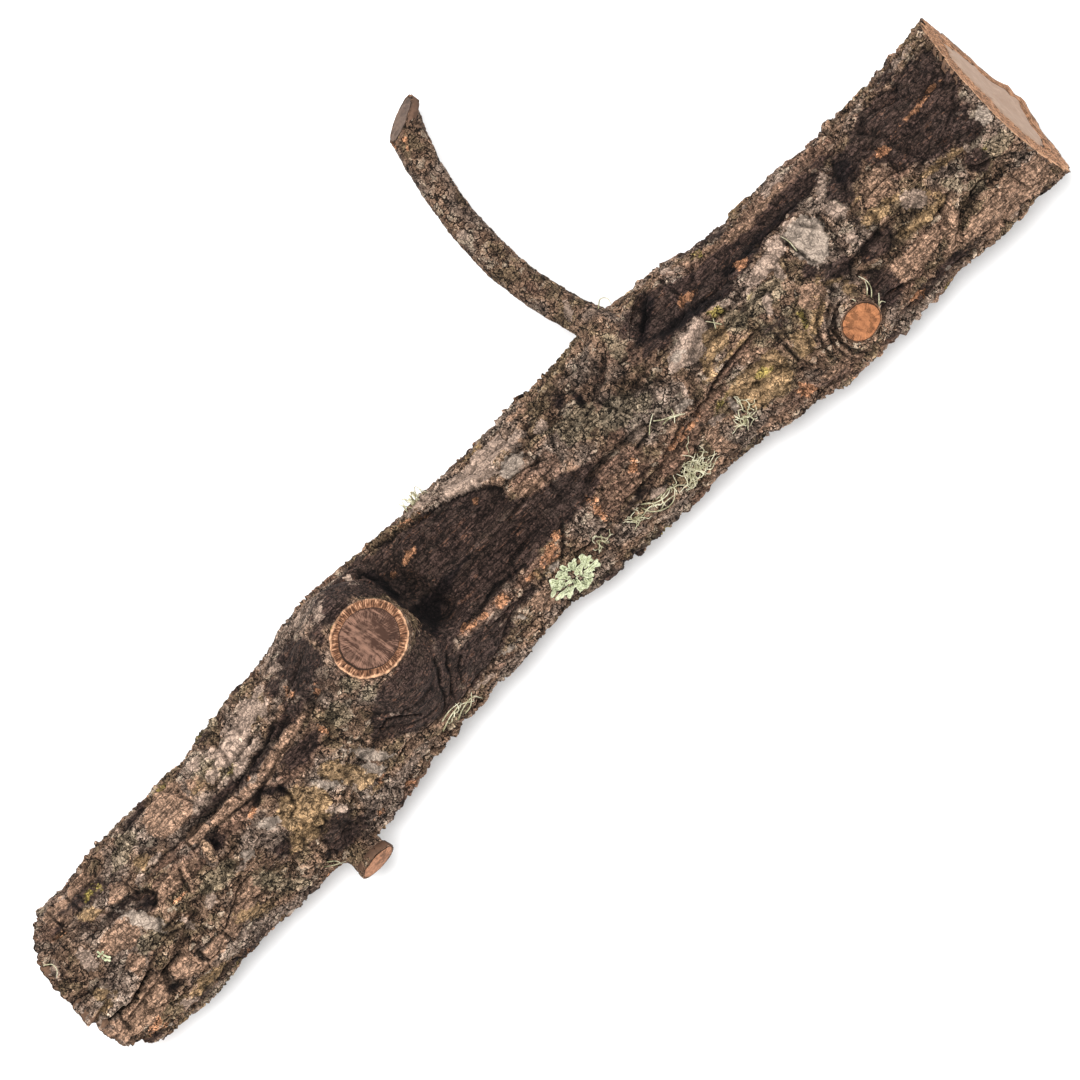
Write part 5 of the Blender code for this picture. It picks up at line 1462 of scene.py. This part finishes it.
def attribute(tree, name):
    """The number kept for each point under this name."""
    return add(tree, "ShaderNodeAttribute", attribute_name=name, attribute_type="GEOMETRY").outputs["Fac"]


FINISHES = [
    # finish, its strength, how far its edge wanders, how soft the edge is, whether the edge is of fine bits
    ("brown", 0.8, 2.2, 0.3, False),
    ("pink", 0.88, 2.0, 0.14, False),
    ("ochre", 0.82, 2.4, 0.2, True),
    ("sage", 0.6, 2.6, 0.22, True),
    ("dark", 0.93, 2.2, 0.3, False),
    ("black", 0.93, 2.0, 0.35, False),
    ("pale", 0.88, 2.6, 0.12, True),
    ("moss", 0.8, 2.8, 0.25, True),
    ("tan", 0.92, 0.9, 0.12, True),
    ("orange", 0.88, 2.6, 0.14, True),
    ("white", 0.94, 2.3, 0.12, True),
]


def bark_material(settings):
    """Bark: crumbly browns of three tones, with crusts and bare spots, painted shade in cracks and hollows
    and painted light on raised bits.
    """
    made, tree, shader = new_material("furrowed_bark", 0.92)
    where = add(tree, "ShaderNodeTexCoord").outputs["Object"]
    grain = filled_group(tree, "Grain", {"Vector": where})
    grit, crumbs, ticks, lines, blotches, flakes, cracks, tones = (grain.outputs[i] for i in range(8))
    value = off_middle(tree, crumbs, 0.3, 0.5)
    value = off_middle(tree, ticks, 0.4, value)
    value = off_middle(tree, lines, 0.22, value)
    value = off_middle(tree, blotches, 0.4, value)
    value = off_middle(tree, flakes, 0.3, value)
    value = off_middle(tree, attribute(tree, "plate"), 0.14, value)
    warm = ramp(tree, value, [
        (0.2, (0.028, 0.017, 0.012)), (0.36, (0.082, 0.048, 0.031)), (0.52, (0.165, 0.100, 0.065)),
        (0.68, (0.270, 0.172, 0.115)), (0.86, (0.430, 0.300, 0.215)),
    ])
    grey = ramp(tree, value, [
        (0.2, (0.030, 0.021, 0.017)), (0.36, (0.090, 0.061, 0.046)), (0.52, (0.180, 0.128, 0.097)),
        (0.68, (0.285, 0.212, 0.165)), (0.86, (0.470, 0.370, 0.300)),
    ])
    olive = ramp(tree, value, [
        (0.2, (0.023, 0.016, 0.010)), (0.36, (0.072, 0.048, 0.029)), (0.52, (0.142, 0.099, 0.058)),
        (0.68, (0.225, 0.162, 0.092)), (0.86, (0.370, 0.280, 0.175)),
    ])
    colour = mixed(tree, remap(tree, tones, 0.46, 0.6), warm, grey)
    colour = mixed(tree, remap(tree, off_middle(tree, blotches, 0.6, tones), 0.36, 0.46, 0.8, 0.0), colour,
                   olive)
    chips = times(tree, remap(tree, flakes, 0.72, 0.8), remap(tree, blotches, 0.46, 0.56))
    colour = mixed(tree, times(tree, chips, 0.75), colour, (0.30, 0.235, 0.172, 1))
    shade = remap(tree, off_middle(tree, flakes, 0.3, off_middle(tree, ticks, 0.3, blotches)), 0.3, 0.7,
                  0.75, 1.22)
    coarse = remap(tree, off_middle(tree, blotches, 1.0, off_middle(tree, crumbs, 0.6, 0.5)), 0.2, 0.8, 0.3,
                   1.6)
    stripes = remap(tree, off_middle(tree, ticks, 0.5, lines), 0.3, 0.7, 0.45, 1.45)
    threads = remap(tree, off_middle(tree, crumbs, 0.3, lines), 0.36, 0.68, 0.4, 1.8)
    streaked = {"pink": stripes, "brown": stripes, "dark": threads, "black": threads}
    streaked.update({"orange": coarse, "ochre": coarse, "moss": coarse})
    calm = 0.0
    veins = times(tree, remap(tree, lines, 0.6, 0.68), remap(tree, blotches, 0.44, 0.56))
    for finish, strength, reach, softness, fine_edge in FINISHES:
        mask = filled_group(tree, "Ragged edge", {
            "Noise": grain.outputs["Bits" if fine_edge else "Lumps"],
            "Field": attribute(tree, finish), "Reach": reach,
            "Softness": softness,
        }).outputs[0]
        tint = (*getattr(settings, finish), 1)
        tinted = mixed(tree, 1.0, tint, combine_grey(tree, streaked.get(finish, shade)), "MULTIPLY")
        if finish == "dark":
            tinted = mixed(tree, times(tree, veins, 0.55), tinted, (0.15, 0.064, 0.032, 1))
        colour = mixed(tree, times(tree, mask, strength), colour, tinted)
        calm = maths(tree, "MAXIMUM", calm, times(tree, mask, FLATTENED.get(finish, 0.0)))
    # Fine grain from grit and ticks, with painted shade in the hairline cracks and a lighter band along
    # their edges.
    detail = off_middle(tree, ticks, 0.35, off_middle(tree, grit, 1.15, 0.5))
    fine = times(tree, remap(tree, detail, 0.3, 0.7, 0.4, 1.68, ease=False),
                 maths(tree, "MULTIPLY_ADD", cracks, -0.9, 1.0))
    fine = times(tree, fine, maths(tree, "MULTIPLY_ADD", grain.outputs["Rims"], 0.5, 1.0))
    calmed = maths(tree, "MULTIPLY_ADD", calm, -0.8, 1.0)
    shares = [
        maths(tree, "MULTIPLY_ADD", maths(tree, "SUBTRACT", fine, 1.0), calmed, 1.0),
        # Painted shade in the modelled cracks, plate gaps and ledge gutters.
        maths(tree, "MULTIPLY_ADD", attribute(tree, "crack"), -0.75, 1.0),
        # Painted shade where the bark lies lower than nearby, and painted light where it stands out.
        remap(tree, attribute(tree, "standing"), -0.8, 0.8, 0.5, 1.35, ease=False),
        # Painted shade in the broad hollows and furrows.
        remap(tree, attribute(tree, "hollow"), -3.0, 0.3, 0.52, 1.05),
        attribute(tree, "tone"),
    ]
    total = shares[0]
    for share in shares[1:]:
        total = times(tree, total, share)
    colour = mixed(tree, 1.0, colour, combine_grey(tree, total), "MULTIPLY")
    tree.links.new(colour, shader.inputs["Base Color"])
    bump = add(tree, "ShaderNodeBump",
               {"Strength": 1.0, "Distance": 0.0008, "Height": grain.outputs["Height"]})
    tree.links.new(bump.outputs[0], shader.inputs["Normal"])
    return made


def combine_grey(tree, value):
    """A grey of this value."""
    return add(tree, "ShaderNodeCombineColor", {0: value, 1: value, 2: value}).outputs[0]


def wood_material(name, wood, dark_wood, ring, rim, rim_width, dashes_scale, streaks, shaded=0.0,
                  marked=0.0):
    """Sawn wood: streaks along the saw marks, a crack round it darkened with painted shade, and a ring of
    bark with dark dashes.

    The dashes run across the ring or round it, as their scale says. The wood may darken towards one side,
    where pale scratches cross it.
    """
    made, tree, shader = new_material(name, 0.82)
    where = add(tree, "ShaderNodeTexCoord").outputs["Object"]
    inset, share, around = (attribute(tree, key) for key in ("inset", "share", "around"))
    grain = filled_group(tree, "Grain", {"Vector": where})
    crumbs, blotches = grain.outputs["Crumbs"], grain.outputs["Blotches"]
    turned = add(tree, "ShaderNodeMapping", {"Vector": where, "Rotation": (0, 0, 0.19), "Scale": (1.0, 12.0,
                                                                                                  2.5)},
                 vector_type="TEXTURE")
    marks = add(tree, "ShaderNodeTexNoise", {"Vector": turned.outputs[0], "Scale": 950.0, "Detail": 5.0,
                                             "Roughness": 0.7}).outputs[0]
    wide = add(tree, "ShaderNodeTexNoise", {"Vector": turned.outputs[0], "Scale": 300.0,
                                            "Detail": 3.0}).outputs[0]
    side = maths(tree, "SUBTRACT", attribute(tree, "east"), times(tree, attribute(tree, "north"), 0.35))
    side = remap(tree, off_middle(tree, wide, 1.0, side), -0.05, 0.55)
    tone = off_middle(tree, crumbs, 0.2 + 0.3 * streaks, 0.57)
    tone = off_middle(tree, marks, streaks, tone)
    ringed = maths(tree, "SINE", maths(tree, "MULTIPLY_ADD", share, 60.0, times(tree, wide, 4.0)))
    tone = maths(tree, "MULTIPLY_ADD", ringed, 0.03, tone)
    tone = off_middle(tree, blotches, 0.5, tone)
    fan = add(tree, "ShaderNodeCombineXYZ", {0: times(tree, around, 36.0),
                                             1: times(tree, inset, 0.25), 2: 0.0})
    rays = add(tree, "ShaderNodeTexNoise",
               {"Vector": fan.outputs[0], "Scale": 1.0, "Detail": 2.0}).outputs[0]
    rays = times(tree, maths(tree, "SUBTRACT", rays, 0.5), remap(tree, share, 0.2, 0.7, 1.6, 0.2))
    tone = maths(tree, "MULTIPLY_ADD", rays, streaks, tone)
    tone = maths(tree, "SUBTRACT", tone, times(tree, side, shaded))
    scratches = times(tree, remap(tree, marks, 0.56, 0.66), times(tree, side, shaded * 2.2))
    colour = ramp(tree, maths(tree, "ADD", tone, scratches),
                  [(0.25, dark_wood), (0.58, wood), (0.9, tuple(min(1.45 * c, 1) for c in wood))])
    ticks = add(tree, "ShaderNodeCombineXYZ", {0: times(tree, around, dashes_scale[0]),
                                               1: times(tree, inset, dashes_scale[1]), 2: 0.0})
    dashes = add(tree, "ShaderNodeTexNoise", {"Vector": ticks.outputs[0], "Scale": 1.0, "Detail": 3.0,
                                              "Roughness": 0.6}).outputs[0]
    ring_tone = off_middle(tree, dashes, 1.8, off_middle(tree, crumbs, 0.8, 0.47))
    ring_tone = off_middle(tree, blotches, 0.4, ring_tone)
    ring_colour = ramp(tree, ring_tone,
                       [(0.3, tuple(c * 0.2 for c in ring)), (0.46, tuple(c * 0.62 for c in ring)),
                                         (0.6, ring), (0.85, rim)])
    edge_in = off_middle(tree, blotches, 2.5, inset)
    low_side = maths(tree, "SUBTRACT", attribute(tree, "north"), times(tree, attribute(tree, "east"), -0.5))
    rim_share = times(tree, remap(tree, edge_in, rim_width * 0.6, rim_width * 1.4, 0.9, 0.0),
                      remap(tree, low_side, 0.2, 1.1, 1.0, 0.35))
    rim_colour = mixed(tree, 1.0, (*rim, 1), combine_grey(tree, remap(tree, crumbs, 0.3, 0.7, 0.5, 1.25)),
                       "MULTIPLY")
    ring_colour = mixed(tree, rim_share, ring_colour, rim_colour)
    skin_share = remap(tree, off_middle(tree, crumbs, 0.8, inset), 0.12, 0.4, 0.85, 0.0)
    ring_colour = mixed(tree, skin_share, ring_colour, (0.075, 0.045, 0.032, 1))
    edge = attribute(tree, "past")
    spots = times(tree, remap(tree, grain.outputs["Lumps"], 0.53, 0.58), remap(tree, marks, 0.36, 0.52))
    split = maths(tree, "MULTIPLY_ADD", spots, -marked, 1.0)
    colour = mixed(tree, 1.0, colour, combine_grey(tree, split), "MULTIPLY")
    colour = mixed(tree, remap(tree, edge, -0.12, 0.12), ring_colour, colour)
    # Painted shade in the crack between bark and wood, wider where it gapes.
    crack = maths(tree, "ABSOLUTE", maths(tree, "SUBTRACT", edge, 0.05))
    open_ = maths(tree, "MULTIPLY_ADD", attribute(tree, "open"), 0.5, off_middle(tree, dashes, 0.5, 0.06))
    line = maths(tree, "DIVIDE", crack, maths(tree, "MAXIMUM", open_, 0.06))
    line = remap(tree, line, 0.6, 1.3, 0.94, 0.0)
    colour = mixed(tree, line, colour, (0.022, 0.013, 0.009, 1))
    tree.links.new(colour, shader.inputs["Base Color"])
    height = maths(tree, "MULTIPLY_ADD", marks, 0.6, times(tree, crumbs, 0.5))
    bump = add(tree, "ShaderNodeBump", {"Strength": 0.6, "Distance": 0.0004, "Height": height})
    tree.links.new(bump.outputs[0], shader.inputs["Normal"])
    return made


def lichen_material(name, base, bright, deep, key):
    """Lichen: a powdery colour, lighter towards the tips of its threads, and on leafy lobes with painted
    light on the rims that curl up and painted shade deeper in the folds.
    """
    made, tree, shader = new_material(name, 0.9)
    where = add(tree, "ShaderNodeTexCoord").outputs["Object"]
    grain = filled_group(tree, "Grain", {"Vector": where})
    tone = maths(tree, "MULTIPLY_ADD", attribute(tree, key), 0.4, times(tree, grain.outputs["Crumbs"], 0.7))
    tone = off_middle(tree, grain.outputs["Grit"], 0.9, off_middle(tree, grain.outputs["Blotches"], 0.9,
                                                                   tone))
    # The deep colour is painted shade in the lobes' folds and the bright one painted light on their rims;
    # random grain also reaches both.
    colour = ramp(tree, tone, [(0.26, deep), (0.5, base), (0.85, bright)])
    tree.links.new(colour, shader.inputs["Base Color"])
    bump = add(tree, "ShaderNodeBump",
               {"Strength": 0.5, "Distance": 0.0003, "Height": grain.outputs["Crumbs"]})
    tree.links.new(bump.outputs[0], shader.inputs["Normal"])
    return made


def colour_property(name, description, value):
    """A colour a user may change."""
    return bpy.props.FloatVectorProperty(name=name, description=description, default=value, subtype="COLOR",
                                         size=3, min=0, max=1)


class BarkSettings(bpy.types.PropertyGroup):
    """Sizes and colours of the bark."""

    rings: bpy.props.IntProperty(name="Rings", description="Sections along the trunk", default=780, min=40)
    sides: bpy.props.IntProperty(name="Sides", description="Points round each section", default=252, min=24)
    roughness: bpy.props.FloatProperty(name="Relief", description="Height of plates and scales",
                                       default=1.0, min=0)
    pale: colour_property("Pale crust", "Thin grey crusts on the bark", (0.344, 0.248, 0.192))
    white: colour_property("White crust", "The lightest crusts", (0.345, 0.273, 0.218))
    pink: colour_property("Smooth bark", "Smooth pinkish plates", (0.290, 0.176, 0.116))
    ochre: colour_property("Ochre crust", "Yellow-brown crusts", (0.268, 0.170, 0.086))
    sage: colour_property("Green crust", "Thin grey-green crusts", (0.235, 0.185, 0.120))
    moss: colour_property("Moss", "Small yellow-green spots", (0.24, 0.185, 0.048))
    tan: colour_property("Tan flakes", "Layered flakes of cork", (0.34, 0.215, 0.135))
    orange: colour_property("Bare bark", "Fresh orange spots where bark broke off", (0.42, 0.200, 0.105))
    brown: colour_property("Brown bark", "Bare brown bark in the furrows", (0.155, 0.088, 0.060))
    # The dark and black finishes are partly dark bark and partly painted shade in hollows, furrows and under
    # ledges.
    dark: colour_property("Dark bark", "Near-black bark in the hollows", (0.034, 0.0205, 0.0172))
    black: colour_property("Black bark", "The darkest hollows", (0.008, 0.005, 0.005))


class LichenSettings(bpy.types.PropertyGroup):
    """Colours of the lichens."""

    leafy: colour_property("Leafy lichen", "The mint-green rosettes", (0.45, 0.48, 0.295))
    beard: colour_property("Beard lichen", "The pale threads", (0.42, 0.385, 0.245))


class WoodSettings(bpy.types.PropertyGroup):
    """Colours of the sawn faces."""

    end: colour_property("Sawn end", "Wood of the trunk's ends", (0.36, 0.25, 0.185))
    knot: colour_property("Knot", "Wood of the big knot", (0.155, 0.084, 0.058))
    stub: colour_property("Stub", "Wood of the small stubs", (0.34, 0.138, 0.06))


class StageSettings(bpy.types.PropertyGroup):
    """The floor and the light."""

    floor: colour_property("Floor", "Colour of the floor", (0.93, 0.93, 0.93))
    light: bpy.props.FloatProperty(name="Light", description="Power of the large lamp", default=58.0, min=0,
                                   unit="POWER")
    sky: bpy.props.FloatProperty(name="Sky", description="Strength of the even light", default=1.0, min=0)


class BRANCH_OT_bark(bpy.types.Operator):
    """Builds the trunk's furrowed bark."""

    bl_idname = "branch.bark"
    bl_label = "Bark"

    def execute(self, context):
        settings = context.scene.branch_bark
        make_groups()
        finish = bark_material(settings)
        rings, fields = build_trunk(settings)
        middle = settings.rings // 2
        place("bark_left", [trunk_half(rings, fields, 0, middle)], finish, "bark", "branch")
        place("bark_right", [trunk_half(rings, fields, middle, settings.rings - 1)], finish, "bark",
              "branch")
        return {"FINISHED"}


class BRANCH_OT_limbs(bpy.types.Operator):
    """Builds the twig, the twiglet, the chip and the bark round the stubs."""

    bl_idname = "branch.limbs"
    bl_label = "Twig and stubs"

    def execute(self, context):
        finish = bpy.data.materials["furrowed_bark"]
        limbs = {
            "twig": tube(seen_path(TWIG_PATH), TWIG_RADII, LIMB_SIDES["twig"], 190, end_normal=TWIG_CUT),
            "twiglet": tube(seen_path(TWIGLET_PATH), TWIGLET_RADII, 20, 40, bumps=0.15, depth=0.16),
            "side_stub": tube(seen_path(SIDE_STUB_PATH), SIDE_STUB_RADII, LIMB_SIDES["side_stub"], 36,
                              end_normal=SIDE_STUB_CUT),
            "chip": tube(seen_path(CHIP_PATH), CHIP_RADII, 24, 30, up=(1, 0, 0)),
            "knot": stub_rings(seen(*KNOT_PLACE), KNOT_RADII, KNOT_LEAN, KNOT_DEPTH, LIMB_SIDES["knot"], 30),
            "small_stub": stub_rings(seen(*SMALL_STUB_PLACE), (SMALL_STUB_RADIUS,) * 2, SMALL_STUB_LEAN,
                                     SMALL_STUB_DEPTH, LIMB_SIDES["small_stub"], 20),
        }
        cuts = sawn_directions()
        for name, (rings, height, plate) in limbs.items():
            fields = bark_attributes(patch_fields(rings, normals_up(rings)), height, plate)
            if name in cuts:
                rings = np.concatenate([rings, [shrunk(rings[-1], 0.9, -2.4 * cuts[name])]])
                fields = {key: np.concatenate([value, value[-1:]]) for key, value in fields.items()}
            place(name + "_bark", [shell(rings, fields)], finish, "bark", "branch")
        return {"FINISHED"}


def seen_path(places):
    """The points of a path through seen places."""
    return [seen(*place_of) for place_of in places]


# Lobes of the small rosette: where each starts from the rosette's middle, its bearing and its length.
SMALL_LOBES = [(-0.2, 0.8, 95, 1.6), (0, 0.8, 15, 1.1), (-0.4, 0.8, 170, 1.1), (0.3, 0.4, -82, 2.6),
               (-0.5, 0.2, -98, 2.0), (0, -1.0, -88, 1.8)]


def sawn_directions():
    """The way that each sawn face looks."""
    return {
        "right_end": np.array([1, 0, SAWN_LEAN]) / math.hypot(1, SAWN_LEAN),
        "left_end": np.array([-1, 0, -OBLIQUE_LEAN]) / math.hypot(1, OBLIQUE_LEAN),
        "knot": np.array([0, math.sin(KNOT_LEAN), math.cos(KNOT_LEAN)]),
        "small_stub": np.array([0, math.sin(SMALL_STUB_LEAN), math.cos(SMALL_STUB_LEAN)]),
        "side_stub": np.array(SIDE_STUB_CUT) / np.linalg.norm(SIDE_STUB_CUT),
        "twig": np.array(TWIG_CUT) / np.linalg.norm(TWIG_CUT),
    }


class BRANCH_OT_sawn_faces(bpy.types.Operator):
    """Builds the sawn faces of the trunk, the knot, the stubs and the twig."""

    bl_idname = "branch.sawn_faces"
    bl_label = "Sawn faces"

    def execute(self, context):
        wood = context.scene.branch_wood
        small = dict(ring=(0.20, 0.10, 0.055), rim=(0.34, 0.17, 0.09), rim_width=0.3,
                     dashes_scale=(12.0, 1.0))
        end = wood_material("sawn_end", tuple(wood.end), dark_wood=(0.30, 0.19, 0.13),
                            ring=(0.44, 0.22, 0.115),
                            rim=(0.58, 0.33, 0.19), rim_width=1.5, dashes_scale=(5.0, 2.6), streaks=0.25)
        knot = wood_material("sawn_knot", tuple(wood.knot), dark_wood=(0.05, 0.024, 0.016),
                             ring=(0.19, 0.085, 0.045), rim=(0.60, 0.34, 0.20), rim_width=0.8,
                             dashes_scale=(30.0, 0.35), streaks=2.5, shaded=0.4, marked=0.35)
        stub = wood_material("sawn_stub", tuple(wood.stub), dark_wood=(0.12, 0.045, 0.022), streaks=0.9,
                             marked=0.5, **small)
        side = wood_material("sawn_side_stub", (0.42, 0.20, 0.11), dark_wood=(0.08, 0.04, 0.025),
                             streaks=0.6, marked=0.5, **small)
        tip = wood_material("sawn_twig", (0.15, 0.10, 0.075), dark_wood=(0.05, 0.032, 0.026),
                            ring=(0.30, 0.15, 0.08), rim=(0.44, 0.24, 0.15), rim_width=0.4,
                            dashes_scale=(12.0, 1.0), streaks=0.6, shaded=0.1, marked=0.4)
        cuts = sawn_directions()
        sides = context.scene.branch_bark.sides
        faces = [("right_end", "bark_right", sides, -2, end), ("left_end", "bark_left", sides, 1, end)]
        for name, finish in (("knot", knot), ("small_stub", stub), ("side_stub", side), ("twig", tip)):
            faces.append((name, name + "_bark", LIMB_SIDES[name], -2, finish))
        inwards = {"right_end": np.array([-1, 0, 0]), "left_end": np.array([1, 0, 0])}
        for name, piece, count, row, finish in faces:
            inward = inwards.get(name, -cuts[name])
            made = sawn_face(rim_ring(piece, count, row), cuts[name], inward, **FACE_SHAPES[name])
            place(name + "_face", [made], finish, "bark", "branch")
        return {"FINISHED"}


def points_of(name):
    """The points of a finished piece, in millimetres and in listed places."""
    mesh = bpy.data.objects[name].data
    points = np.empty(len(mesh.vertices) * 3, np.float32)
    mesh.vertices.foreach_get("co", points)
    return points.reshape(-1, 3).astype(float) / MM + (0, REST_Y, 0)


def rim_ring(name, sides, row):
    """One ring of a finished piece, counted along it."""
    return points_of(name)[:-2].reshape(-1, sides, 3)[row]


def bark_tree():
    """The trunk's bark as a tree that rays can be cast at, in millimetres."""
    points, faces, offset = [], [], 0
    for name in ("bark_left", "bark_right"):
        own = points_of(name)
        points.append(own)
        faces += [tuple(v + offset for v in p.vertices) for p in bpy.data.objects[name].data.polygons]
        offset += len(own)
    return BVHTree.FromPolygons(np.concatenate(points).tolist(), faces)


class BRANCH_OT_leafy_lichens(bpy.types.Operator):
    """Grows the leafy lichens on the bark."""

    bl_idname = "branch.leafy_lichens"
    bl_label = "Leafy lichens"

    def execute(self, context):
        colour = tuple(context.scene.branch_lichen.leafy)
        finish = lichen_material("mint_lichen", colour, (0.74, 0.76, 0.54), (0.13, 0.14, 0.08), "edge")
        tree = bark_tree()
        large = build_rosette("leafy_lichen", (-1.8, -16.0), 9.4, 25, tree)
        place("mint_rosette", large, finish, "leafy_lichen", "leafy_lichen")
        draw = np.random.default_rng(4)
        frame = trunk_frame((-194.0, 4.0))
        small = [leaf_lobe(tree, frame, (x, y), math.radians(bearing), length, 0.42, 0.1, 0.3, draw)
                 for x, y, bearing, length in SMALL_LOBES]
        place("small_rosette", small, finish, "leafy_lichen", "leafy_lichen_small")
        return {"FINISHED"}


class BRANCH_OT_beard_lichens(bpy.types.Operator):
    """Grows the beard lichens on the bark."""

    bl_idname = "branch.beard_lichens"
    bl_label = "Beard lichens"

    def execute(self, context):
        colour = tuple(context.scene.branch_lichen.beard)
        finish = lichen_material("thread_lichen", colour, (0.80, 0.76, 0.56), (0.20, 0.19, 0.10), "along")
        tree = bark_tree()
        for name in (*TUFTS, "beard_lichen_stub"):
            threads = [lying_thread(tree, path, 0.22, 1.2) for path in THREADS.get(name, [])]
            if name in TUFTS:
                threads += build_tuft(name, *TUFTS[name], tree)
            place(name + "_threads", threads, finish, "beard_lichen", name)
        small = [lying_thread(tree, path, 0.2, 0.8) for path in LOOSE_THREADS]
        for i, sizes in enumerate(SMALL_TUFTS):
            small += build_tuft(f"small_{i}", *sizes, tree, radius=0.17)
        place("scattered_threads", small, finish, "beard_lichen")
        return {"FINISHED"}


class BRANCH_OT_stage(bpy.types.Operator):
    """Adds the floor, the light and the camera."""

    bl_idname = "branch.stage"
    bl_label = "Stage"

    def execute(self, context):
        settings = context.scene.branch_stage
        scene = context.scene
        made, tree, shader = new_material("floor", 0.95)
        where = add(tree, "ShaderNodeTexCoord").outputs["Object"]
        paper = add(tree, "ShaderNodeTexNoise", {"Vector": where, "Scale": 300.0, "Detail": 2.0}).outputs[0]
        tone = remap(tree, paper, 0.3, 0.7, 0.995, 1.0)
        tree.links.new(mixed(tree, 1.0, (*settings.floor, 1), combine_grey(tree, tone), "MULTIPLY"),
                       shader.inputs["Base Color"])
        mesh = bpy.data.meshes.new("floor")
        corners = [(x * FLOOR_REACH, y * FLOOR_REACH, 0) for x, y in ((-1, -1), (1, -1), (1, 1), (-1, 1))]
        mesh.from_pydata(corners, [], [(0, 1, 2, 3)])
        mesh.materials.append(made)
        floor = bpy.data.objects.new("floor", mesh)
        scene.collection.objects.link(floor)
        lamp = bpy.data.lights.new("softbox", "AREA")
        lamp.energy = settings.light
        lamp.shape = "DISK"
        lamp.size = LAMP_SIZE
        softbox = bpy.data.objects.new("softbox", lamp)
        softbox.location = LAMP_PLACE
        softbox.rotation_euler = Vector(LAMP_PLACE).to_track_quat("Z", "Y").to_euler()
        softbox.visible_camera = False
        scene.collection.objects.link(softbox)
        world = bpy.data.worlds.new("even light")
        world.use_nodes = True
        world.node_tree.nodes["Background"].inputs["Color"].default_value = (1, 1, 1, 1)
        world.node_tree.nodes["Background"].inputs["Strength"].default_value = settings.sky
        scene.world = world
        scene.view_settings.view_transform = "Standard"
        lens = bpy.data.cameras.new("camera")
        lens.sensor_width = 36
        lens.lens = lens.sensor_width * EYE_HEIGHT / PICTURE_WIDTH
        lens.clip_end = 20
        camera = bpy.data.objects.new("camera", lens)
        camera.location = CAMERA_PLACE
        camera.rotation_euler = (0, 0, -CAMERA_BEARING)
        scene.collection.objects.link(camera)
        scene.camera = camera
        return {"FINISHED"}


class BRANCH_PT_panel(bpy.types.Panel):
    """Lists the settings and the steps."""

    bl_idname = "BRANCH_PT_panel"
    bl_label = "Cork bark branch"
    bl_space_type = "VIEW_3D"
    bl_region_type = "UI"
    bl_category = "Branch"

    def draw(self, context):
        for operator in OPERATORS:
            self.layout.operator(operator.bl_idname)
        for key in SETTINGS:
            settings = getattr(context.scene, key)
            box = self.layout.box()
            for name in settings.bl_rna.properties.keys():
                if name not in ("rna_type", "name"):
                    box.prop(settings, name)


SETTINGS = {
    "branch_bark": BarkSettings,
    "branch_lichen": LichenSettings,
    "branch_wood": WoodSettings,
    "branch_stage": StageSettings,
}
OPERATORS = [BRANCH_OT_bark, BRANCH_OT_limbs, BRANCH_OT_sawn_faces, BRANCH_OT_leafy_lichens,
             BRANCH_OT_beard_lichens, BRANCH_OT_stage]


def register():
    """Makes the settings, the operators and the panel known."""
    for item in (*SETTINGS.values(), *OPERATORS, BRANCH_PT_panel):
        bpy.utils.register_class(item)
    for key, settings in SETTINGS.items():
        setattr(bpy.types.Scene, key, bpy.props.PointerProperty(type=settings))


def unregister():
    """Takes back all that register did, in reverse order."""
    for key in SETTINGS:
        delattr(bpy.types.Scene, key)
    for item in reversed((*SETTINGS.values(), *OPERATORS, BRANCH_PT_panel)):
        bpy.utils.unregister_class(item)


def main():
    """Builds everything in order."""
    register()
    bpy.ops.branch.bark()
    bpy.ops.branch.limbs()
    bpy.ops.branch.sawn_faces()
    bpy.ops.branch.leafy_lichens()
    bpy.ops.branch.beard_lichens()
    bpy.ops.branch.stage()


if __name__ == "__main__":
    main()
